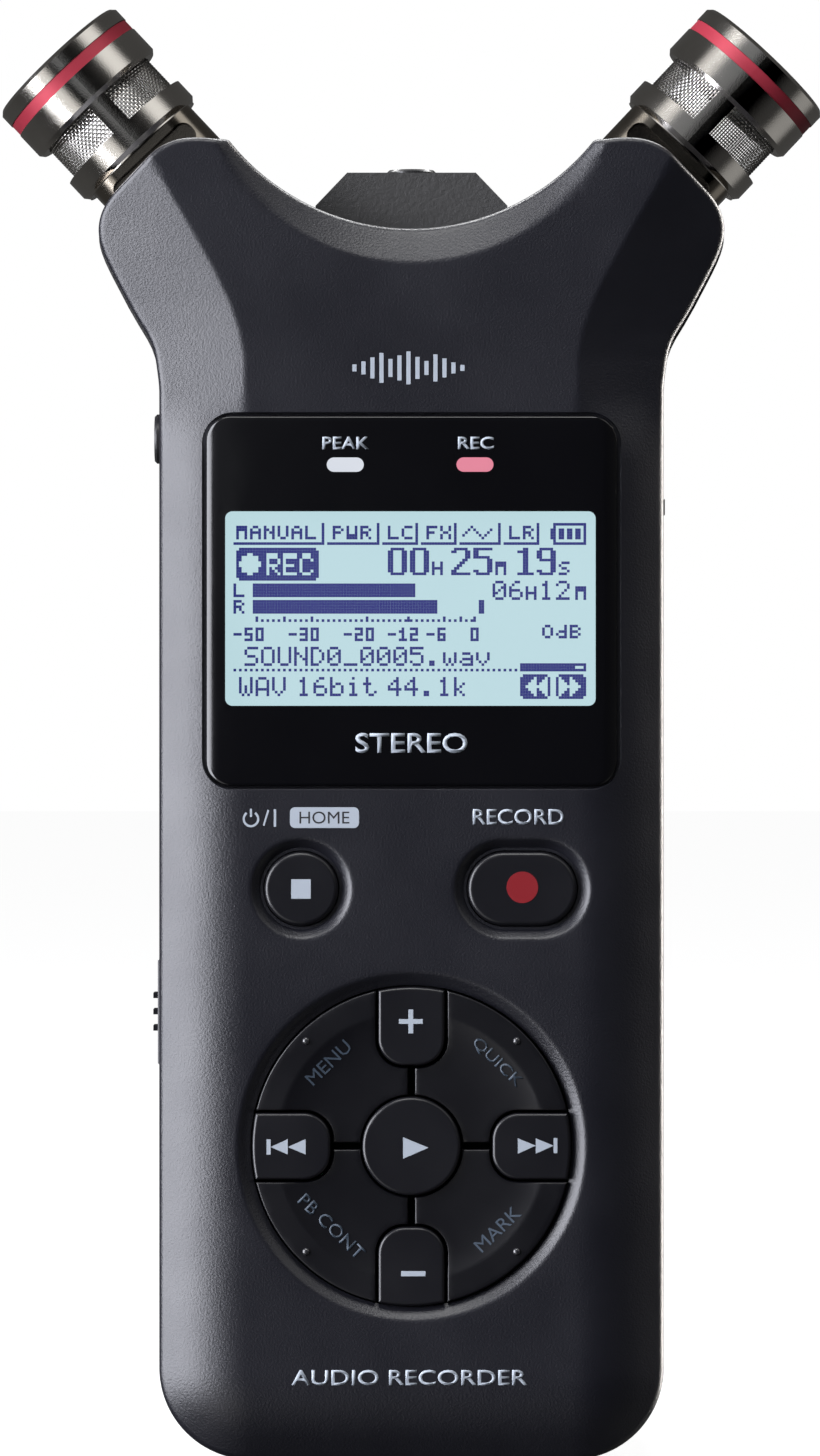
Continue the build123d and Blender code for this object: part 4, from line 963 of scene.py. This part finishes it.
def corner_key(name, body, node, side_x, side_z):
    poly = resample(np.array(corner_outline()), 0.35) * [side_x, side_z]
    if signed_area(poly) < 0:
        poly = poly[::-1]

    def fall(points):
        return dish(np.hypot(*points.T)) + rounding(seg_dist(points, poly), 0.18)

    dish_rim = np.array([(r * math.cos(a) * side_x, r * math.sin(a) * side_z)
                         for r in (14.2, 14.45, 14.7) for a in np.arange(0.1, 1.48, 0.02)])
    verts, faces = relief(poly, [], fall, y_face=CORNER_Y, y_back=-9.0, spacing=0.55,
                          rings=(0.04, 0.10, 0.18), extra=dish_rim)
    verts[:, 2] += PAD[1]
    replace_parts(mesh_object(name, verts, faces, MAT["corner_key"], body), node)
    # Locating pip, a small dome
    bm = bmesh.new()
    bmesh.ops.create_uvsphere(bm, u_segments=24, v_segments=16, radius=0.42 * MM)
    bmesh.ops.scale(bm, vec=(1, 0.75, 1), verts=bm.verts)
    middle = Vector((side_x * PIP_OUT, -12.66, side_z * PIP_OUT + PAD[1]))
    bmesh.ops.translate(bm, vec=middle * MM, verts=bm.verts)
    bmesh_object(name + "_pip", bm, MAT["key_pip"], body, smooth=True)


for key, side_x, side_z in (("quick", 1, 1), ("menu", -1, 1), ("mark", 1, -1)):
    corner_key(f"{key}_key_cap", f"{key}_key", f"{key}_button", side_x, side_z)
corner_key("playback_key_cap", "playback_control_key", "playback_control_button", -1, -1)

# -------------------------------------------------------------------- labels


def dish_y(x, z):
    """Just proud of a corner key's dish."""
    return CORNER_Y - 0.045 + float(dish(math.hypot(x, z - PAD[1])))


def face_y(x, z):
    """Just proud of the case's front."""
    return FACE_Y - 0.025 + float(front_fall(np.array([[x, z]]))[0])


def font_bm(name, text, bold):
    curve = bpy.data.curves.new(name, "FONT")
    curve.body = text
    curve.align_x = "CENTER"
    curve.resolution_u = 4
    curve.offset = bold
    made = bpy.data.objects.new(name + "_curve", curve)
    COL.objects.link(made)
    bpy.context.view_layer.update()
    graph = bpy.context.evaluated_depsgraph_get()
    mesh = bpy.data.meshes.new_from_object(made.evaluated_get(graph), depsgraph=graph)
    bpy.data.objects.remove(made)
    bm = bmesh.new()
    bm.from_mesh(mesh)
    bpy.data.meshes.remove(mesh)
    return bm


def label(name, text, middle, size, y, mat, body, rot=0.0, depth=0.05, bold=0.0, drape=None):
    """Printed word, stretched to size (width, height) about middle (x, z) in the plane y,
    turned by rot degrees and laid on the surface drape(x, z) if one is given."""
    bm = font_bm(name, text, bold)
    bmesh.ops.remove_doubles(bm, verts=bm.verts, dist=1e-5)
    bmesh.ops.dissolve_degenerate(bm, edges=bm.edges, dist=1e-5)
    co = np.array([v.co[:2] for v in bm.verts])
    low, high = co.min(0), co.max(0)
    a = math.radians(rot)
    for v in bm.verts:
        x = ((v.co.x - low[0]) / (high[0] - low[0]) - 0.5) * size[0]
        z = ((v.co.y - low[1]) / (high[1] - low[1]) - 0.5) * size[1]
        v.co = Vector(((middle[0] + x * math.cos(a) - z * math.sin(a)) * MM, y * MM,
                       (middle[1] + x * math.sin(a) + z * math.cos(a)) * MM))
    if drape:
        bmesh.ops.triangulate(bm, faces=bm.faces)
        for v in bm.verts:
            v.co.y = drape(v.co.x / MM, v.co.z / MM) * MM
    bm.normal_update()
    faces = list(bm.faces)
    if faces[0].normal.y > 0:
        bmesh.ops.reverse_faces(bm, faces=faces)
    extruded = bmesh.ops.extrude_face_region(bm, geom=faces)["geom"]
    new_verts = [e for e in extruded if isinstance(e, bmesh.types.BMVert)]
    bmesh.ops.translate(bm, vec=(0, depth * MM, 0), verts=new_verts)
    bmesh.ops.recalc_face_normals(bm, faces=bm.faces)
    bmesh_object(name, bm, mat, body)


# Words on the case and window: name, text, middle, size, y, boldness
for name, text, middle, size, y, bold in (
        ("label_peak", "PEAK", (-7.0691, 110.1013), (5.0710, 1.3595), LENS_INK_Y, 0.02),
        ("label_rec", "REC", (6.9571, 110.1013), (3.8842, 1.3595), LENS_INK_Y, 0.02),
        ("label_stereo", "STEREO", (-0.0021, 77.7334), (12.0840, 2.1579), LENS_INK_Y, 0.016),
        ("label_record", "RECORD", (11.5206, 69.7711), (9.8180, 1.6831), CASE_INK_Y, 0.012)):
    label(name, text, middle, size, y, MAT["ink"], "case", bold=bold)
label("label_recorder", "AUDIO RECORDER", (-0.2178, 9.2710), (25.4643, 1.6724), -12.93,
      MAT["ink"], "case", bold=0.012, depth=0.10, drape=face_y)
# Words on the corner keys: name, text, middle, size, body, turn, boldness
for name, text, middle, size, body, rot, bold in (
        ("menu", "MENU", (-8.9547, 43.2273), (5.8318, 1.4255), "menu_key", 44, 0.0),
        ("quick", "QUICK", (9.2857, 43.2273), (6.8037, 1.4687), "quick_key", -44, 0.008),
        ("mark", "MARK", (9.2857, 25.2677), (5.9397, 1.4255), "mark_key", 44, 0.0),
        ("playback", "PB CONT", (-8.5983, 25.5160), (9.0716, 1.4255),
         "playback_control_key", -44, 0.008)):
    label("label_" + name, text, middle, size, DISH_INK_Y, MAT["ink_dim"], body,
          rot=rot, bold=bold, depth=0.10, drape=dish_y)

# --------------------------------------------------------------------- marks


def solid_marks(name, polys, y, mat, body, depth=0.06):
    """Thin raised marks from a list of simple polygons in (x, z)."""
    bm = bmesh.new()
    for poly in polys:
        poly = np.array(poly, float)
        if signed_area(poly) < 0:
            poly = poly[::-1]
        top = [bm.verts.new((x * MM, y * MM, z * MM)) for x, z in poly]
        low = [bm.verts.new((x * MM, (y + depth) * MM, z * MM)) for x, z in poly]
        bm.faces.new(top)
        bm.faces.new(low[::-1])
        for i in range(len(poly)):
            j = (i + 1) % len(poly)
            bm.faces.new((top[j], top[i], low[i], low[j]))
    bmesh.ops.recalc_face_normals(bm, faces=bm.faces)
    bmesh_object(name, bm, mat, body)


def rect(x0, z0, x1, z1):
    return [(x0, z0), (x1, z0), (x1, z1), (x0, z1)]


def bar(cx, cz, width, height):
    return rect(cx - width / 2, cz - height / 2, cx + width / 2, cz + height / 2)


def cross(cx, cz, size, thick):
    s, t = size / 2, thick / 2
    pts = [(-t, s), (t, s), (t, t), (s, t), (s, -t), (t, -t),
           (t, -s), (-t, -s), (-t, -t), (-s, -t), (-s, t), (-t, t)]
    return [(cx + x, cz + z) for x, z in pts]


def arrow(x_first, z_first, x_second, z_second, x_third, z_third):
    return [(x_first, z_first), (x_second, z_second), (x_third, z_third)]


# Marks on the pad's direction keys: name, outlines, body
for name, polys, body in (
        ("mark_plus", [cross(-0.0776, 47.6940, size=2.5680, thick=0.5179)], "plus_key"),
        ("mark_minus", [bar(0.1922, 20.4818, width=2.6327, height=0.5611)], "minus_key"),
        ("mark_play", [arrow(-0.9084, 35.1993, -0.9084, 32.8794, 1.8430, 34.0771)],
         "play_key"),
        ("mark_skip_back", [rect(-15.6367, 33.3218, -15.1943, 34.9727),
                            arrow(-15.1943, 34.1419, -13.3492, 35.0051, -13.3492, 33.3434),
                            arrow(-13.3492, 34.1419, -11.4178, 35.0051, -11.4178, 33.3434)],
         "skip_back_key"),
        ("mark_skip_forward", [arrow(11.4785, 35.0806, 11.4785, 33.4297, 13.4099, 34.2929),
                               arrow(13.4099, 35.0806, 13.4099, 33.4297, 15.3305, 34.2929),
                               rect(15.3305, 33.4837, 15.7405, 35.1130)],
         "skip_forward_key")):
    solid_marks(name, polys, KEY_INK_Y, MAT["ink"], body)
solid_marks("mark_stop", [bar(-11.9280, 61.9754, 2.1046, 2.1046)], ROUND_INK_Y,
            MAT["ink"], "stop_key")
solid_marks("mark_record", [circle_pts(11.9564, 62.1589, 1.70, 64)], ROUND_INK_Y,
            MAT["ink_red"], "record_key")

# Above the stop key: open ring with a stem, upright bar, slash, then a pill with its word
POWER_X, POWER_Z = -17.3185, 69.6416
RING_R, RING_HALF = 0.78, 0.12
ring_z = POWER_Z - 0.1
open_ring = (arc_pts(POWER_X, ring_z, RING_R + RING_HALF, 125, 415, 36)
             + arc_pts(POWER_X, ring_z, RING_R - RING_HALF, 415, 125, 36))
solid_marks("mark_power",
            [open_ring,
             rect(POWER_X - 0.11, POWER_Z + 0.1, POWER_X + 0.11, POWER_Z + 1.0),
             bar(-14.7291, POWER_Z, width=0.2589, height=1.8881),
             [(-15.8619, 68.7785), (-16.0454, 68.8648), (-15.5275, 70.5479),
              (-15.3441, 70.4616)]],
            CASE_INK_Y, MAT["ink"], "case")
HOME = (-9.3885, 69.6848)
solid_marks("mark_home_pill", [rrect_pts(*HOME, 7.45, 2.24, 0.55, 6)], CASE_INK_Y,
            MAT["ink"], "case", depth=0.03)
label("label_home", "HOME", HOME, (5.3945, 1.3163), CASE_INK_Y - 0.004, MAT["ink_dark"],
      "case", depth=0.02)

# Row of level bars above the window
LEVEL_X, LEVEL_Z, LEVEL_PITCH, LEVEL_W = -0.32573, 118.1923, 0.97101, 0.4531
LEVEL_HEIGHTS = (0.7552, 1.4026, 2.2657, 3.2367, 1.9420, 2.6973, 3.5604, 2.3736, 1.5105,
                 2.9130, 2.0499, 1.1868, 0.6473)
solid_marks("mark_level_bars",
            [bar(LEVEL_X + (i - 6) * LEVEL_PITCH, LEVEL_Z, LEVEL_W, height)
             for i, height in enumerate(LEVEL_HEIGHTS)],
            CASE_INK_Y, MAT["ink"], "case")

# --------------------------------------------------------------- microphones
WEAVE_LOW, WEAVE_HIGH = 11.9, 16.8      # along the barrel, from the pivot
WEAVE_PITCH, WEAVE_R = 0.31, 7.25
WEAVE_SWING = 0.052                     # how far a wire swings in and out
WIRE_HALF = 0.042                       # half the wire's square section


def woven(side_name, side):
    """Wire mesh around a barrel: uprights along it, and hoops that pass in and out."""
    a = math.radians(MIC_TILT)
    origin = np.array([side * MIC_X, 1.0, MIC_Z])
    along = np.array([side * math.sin(a), 0.0, math.cos(a)])
    forward = np.array([0.0, -1.0, 0.0])
    across = np.cross(along, forward)
    uprights = int(round(2 * math.pi * WEAVE_R / WEAVE_PITCH / 2)) * 2
    rows = int((WEAVE_HIGH - WEAVE_LOW) / WEAVE_PITCH)
    start, span = WEAVE_LOW + 0.05, WEAVE_HIGH - WEAVE_LOW - 0.1
    verts, faces = [], []

    def wire(path, firsts, seconds, closed):
        """Square wire along a path; firsts and seconds are its section's directions."""
        base, count, half = len(verts), len(path), WIRE_HALF
        for p, u, v in zip(path, firsts, seconds):
            verts.extend([p + u * half + v * half, p - u * half + v * half,
                          p - u * half - v * half, p + u * half - v * half])
        for i in range(count if closed else count - 1):
            here, there = base + 4 * i, base + 4 * ((i + 1) % count)
            for q in range(4):
                w = (q + 1) % 4
                faces.append((here + q, here + w, there + w, there + q))
        if not closed:
            faces.append((base + 3, base + 2, base + 1, base))
            end = base + 4 * (count - 1)
            faces.append((end, end + 1, end + 2, end + 3))

    for i in range(uprights):
        t = 2 * math.pi * i / uprights
        out = forward * math.cos(t) + across * math.sin(t)
        tangent = -forward * math.sin(t) + across * math.cos(t)
        path = []
        for s in range(2 * rows + 1):
            r = WEAVE_R + WEAVE_SWING * math.cos(math.pi * (i + s / 2.0))
            path.append(origin + along * (start + span * s / (2 * rows)) + out * r)
        wire(path, [out] * len(path), [tangent] * len(path), closed=False)
    for j in range(1, rows):
        height = start + span * j / rows + 0.0001
        path, outs = [], []
        for s in range(2 * uprights):
            t = math.pi * s / uprights
            out = forward * math.cos(t) + across * math.sin(t)
            r = WEAVE_R - WEAVE_SWING * math.cos(math.pi * (s / 2.0 + j))
            path.append(origin + along * height + out * r)
            outs.append(out)
        wire(path, outs, [along] * len(path), closed=True)
    bm = solid_bm(np.array(verts), faces)
    bmesh.ops.recalc_face_normals(bm, faces=bm.faces)
    made = bmesh_object(f"{side_name}_mic_weave", bm, MAT["mesh"], f"{side_name}_microphone")
    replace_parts(made, f"{side_name}_mic_mesh")


woven("left", -1)
woven("right", 1)

# ----------------------------------------------- finishes of carried-over nodes
# Node to finish; nodes that aren't listed are keys
FINISH = {
    "rear_shell": "rear", "battery_cover": "rear", "card_door": "rear", "lcd_panel": "lcd",
    "backlight_guide": "guide", "lcd_frame": "steel", "peak_light_pipe": "peak",
    "rec_light_pipe": "rec", "tact_switches": "black", "main_board": "board",
    "mic_in_jack": "socket", "line_out_jack": "socket", "hold_slider": "key",
    "hold_switch_body": "black", "card_socket": "steel", "memory_card": "card",
    "usb_port": "steel", "speaker": "black", "tripod_bush": "brass",
    "aa_battery_left": "cell", "aa_battery_right": "cell", "battery_contacts": "brass",
    "battery_springs": "spring", "case_screws": "screw", "board_screws": "screw",
}
SIDE_FINISH = {
    "pivot_shaft": "steel", "friction_washers": "spring", "mic_arm": "chrome_dark",
    "mic_barrel": "chrome", "mic_ring": "red", "mic_cap": "chrome", "mic_grille": "mesh",
    "mic_capsule": "black", "capsule_mount": "rubber",
}
for side in ("left", "right"):
    FINISH.update({f"{side}_{part}": finish for part, finish in SIDE_FINISH.items()})
for name, node in nodes.items():
    if not node.hide_render:
        node.data.materials.clear()
        node.data.materials.append(MAT[FINISH.get(name, "key")])

# ---------------------------------------------------------------------- stage


def build_floor():
    """Paper that glows white to the camera and is dark to every other ray."""
    mesh = bpy.data.meshes.new("floor")
    bm = bmesh.new()
    bmesh.ops.create_grid(bm, x_segments=4, y_segments=4, size=6.0)
    bm.to_mesh(mesh)
    bm.free()
    floor = bpy.data.objects.new("floor", mesh)
    floor.location = (0, 0, -0.0002)
    COL.objects.link(floor)
    mat, tree, bsdf = new_mat("floor_paper")
    paper = mix_col(tree, noise(tree, scale=6, detail=3), (0.26, 0.26, 0.26),
                    (0.30, 0.30, 0.30))
    to_camera = tree.nodes.new("ShaderNodeLightPath").outputs["Is Camera Ray"]
    tree.links.new(mix_col(tree, to_camera, (0.05, 0.05, 0.05), paper),
                   bsdf.inputs["Base Color"])
    bsdf.inputs["Roughness"].default_value = 0.9
    bsdf.inputs["Specular IOR Level"].default_value = 0.0
    bsdf.inputs["Emission Color"].default_value = (1, 1, 1, 1)
    tree.links.new(map_range(tree, to_camera, span=(0, 1), result=(0.0, 0.965)),
                   bsdf.inputs["Emission Strength"])
    mesh.materials.append(mat)
    floor.visible_glossy = False


def build_world():
    """White to the camera, dim blue to diffuse rays, and soft panels that only
    reflections see, so that the metal has something to mirror."""
    world = bpy.data.worlds.new("world")
    bpy.context.scene.world = world
    world.use_nodes = True
    tree = world.node_tree
    tree.nodes.clear()
    out = tree.nodes.new("ShaderNodeOutputWorld")
    path = tree.nodes.new("ShaderNodeLightPath")

    def background(color, strength=None):
        node = tree.nodes.new("ShaderNodeBackground")
        node.inputs[0].default_value = color
        if strength is not None:
            node.inputs[1].default_value = strength
        return node

    ambient = background(color=(0.62, 0.66, 0.75, 1), strength=0.028)
    white = background(color=(1, 1, 1, 1), strength=1.0)
    coords = tree.nodes.new("ShaderNodeTexCoord")

    def math_node(operation, *values):
        node = tree.nodes.new("ShaderNodeMath")
        node.operation = operation
        for socket, value in zip(node.inputs, values):
            if isinstance(value, float):
                socket.default_value = value
            else:
                tree.links.new(value, socket)
        return node.outputs[0]

    def lobe(direction, half, edge, value):
        """Soft round panel: its half angle and the softness of its edge in degrees."""
        node = tree.nodes.new("ShaderNodeMapRange")
        node.interpolation_type = "SMOOTHSTEP"
        node.inputs["From Min"].default_value = math.cos(math.radians(half + edge))
        node.inputs["From Max"].default_value = math.cos(math.radians(max(0.0, half - edge)))
        node.inputs["To Min"].default_value = 0.0
        node.inputs["To Max"].default_value = value
        dot = tree.nodes.new("ShaderNodeVectorMath")
        dot.operation = "DOT_PRODUCT"
        tree.links.new(coords.outputs["Generated"], dot.inputs[0])
        dot.inputs[1].default_value = Vector(direction).normalized()
        tree.links.new(dot.outputs["Value"], node.inputs["Value"])
        return node.outputs["Result"]

    def tilt(side, degrees, up):
        """Direction turned from the front towards a side and up or down."""
        a = math.radians(degrees)
        return (side * 0.728 * math.sin(a), -math.cos(a), up * 0.686 * math.sin(a))

    # Even glow, darker straight ahead
    glow = math_node("SUBTRACT", 0.075, lobe((0, -1, 0), half=34, edge=22, value=0.071))
    # Panels: direction, half angle, edge, brightness
    for direction, half, edge, value in ((tilt(-1, 43, -1), 20, 7, 1.15),
                                         (tilt(1, 62, 1), 15, 9, 1.1),
                                         (tilt(-1, 58, 1), 13, 8, 0.9),
                                         (tilt(1, 92, -1), 17, 9, 0.33)):
        glow = math_node("ADD", glow, lobe(direction, half, edge, value))
    # Darker below
    glow = math_node("SUBTRACT", glow, lobe((0, -0.45, -0.9), half=45, edge=25, value=0.045))
    panels = background(color=(1.0, 0.99, 0.97, 1))
    tree.links.new(glow, panels.inputs[1])

    def switch(ray, otherwise, when):
        node = tree.nodes.new("ShaderNodeMixShader")
        tree.links.new(path.outputs[ray], node.inputs[0])
        tree.links.new(otherwise.outputs[0], node.inputs[1])
        tree.links.new(when.outputs[0], node.inputs[2])
        return node

    unseen = switch("Is Glossy Ray", ambient, panels)
    tree.links.new(switch("Is Camera Ray", unseen, white).outputs[0], out.inputs[0])


def area(name, loc, target, size, energy, color=(1, 1, 1)):
    light = bpy.data.lights.new(name, "AREA")
    light.shape = "RECTANGLE"
    light.size, light.size_y = size
    light.energy = energy
    light.color = color
    lamp = bpy.data.objects.new(name, light)
    lamp.location = loc
    aim = Vector(target) - Vector(loc)
    lamp.rotation_euler = aim.to_track_quat("-Z", "Y").to_euler()
    COL.objects.link(lamp)
    return lamp


def build_lights():
    """Places and sizes in metres."""
    area("left_box", loc=(-0.990, -0.443, 0.16), target=(0, 0, 0.08), size=(1.05, 1.15),
         energy=43.0, color=(0.960, 0.975, 1.06))
    area("top_box", loc=(-0.10, -0.48, 1.00), target=(0, 0, 0.10), size=(0.7, 0.45),
         energy=6.5)
    rims = [area("right_strip", loc=(0.72, 0.40, 0.20), target=(0, 0, 0.08),
                 size=(0.30, 0.9), energy=22.0, color=(1.0, 0.95, 0.90)),
            area("back_top", loc=(0.0, 0.42, 0.75), target=(0, 0, 0.12),
                 size=(0.9, 0.25), energy=10.0)]
    # The two rim lights only fall on the case, not on the bright metal
    rim_lit = bpy.data.collections.new("rim_lit")
    rim_lit.objects.link(front)
    for name in ("rear_shell", "mic_in_jack", "card_door", "battery_cover"):
        rim_lit.objects.link(nodes[name])
    for rim in rims:
        rim.light_linking.receiver_collection = rim_lit
    area("front_fill", loc=(-0.45, -1.30, 0.55), target=(0, 0, 0.07), size=(0.9, 0.9),
         energy=0.6, color=(0.93, 0.96, 1.0))


def build_camera():
    data = bpy.data.cameras.new("camera")
    data.sensor_fit = "VERTICAL"
    data.sensor_height = 24.0
    data.lens = 116.9
    data.clip_start = 0.05
    camera = bpy.data.objects.new("camera", data)
    camera.location = (-0.00016, -0.778, 0.07935)
    camera.rotation_euler = (math.radians(90), 0, 0)
    COL.objects.link(camera)
    bpy.context.scene.camera = camera
    view = bpy.context.scene.view_settings
    view.view_transform = "Standard"
    view.look = "None"
    view.exposure = 0.0
    view.gamma = 1.0


build_floor()
build_world()
build_lights()
build_camera()
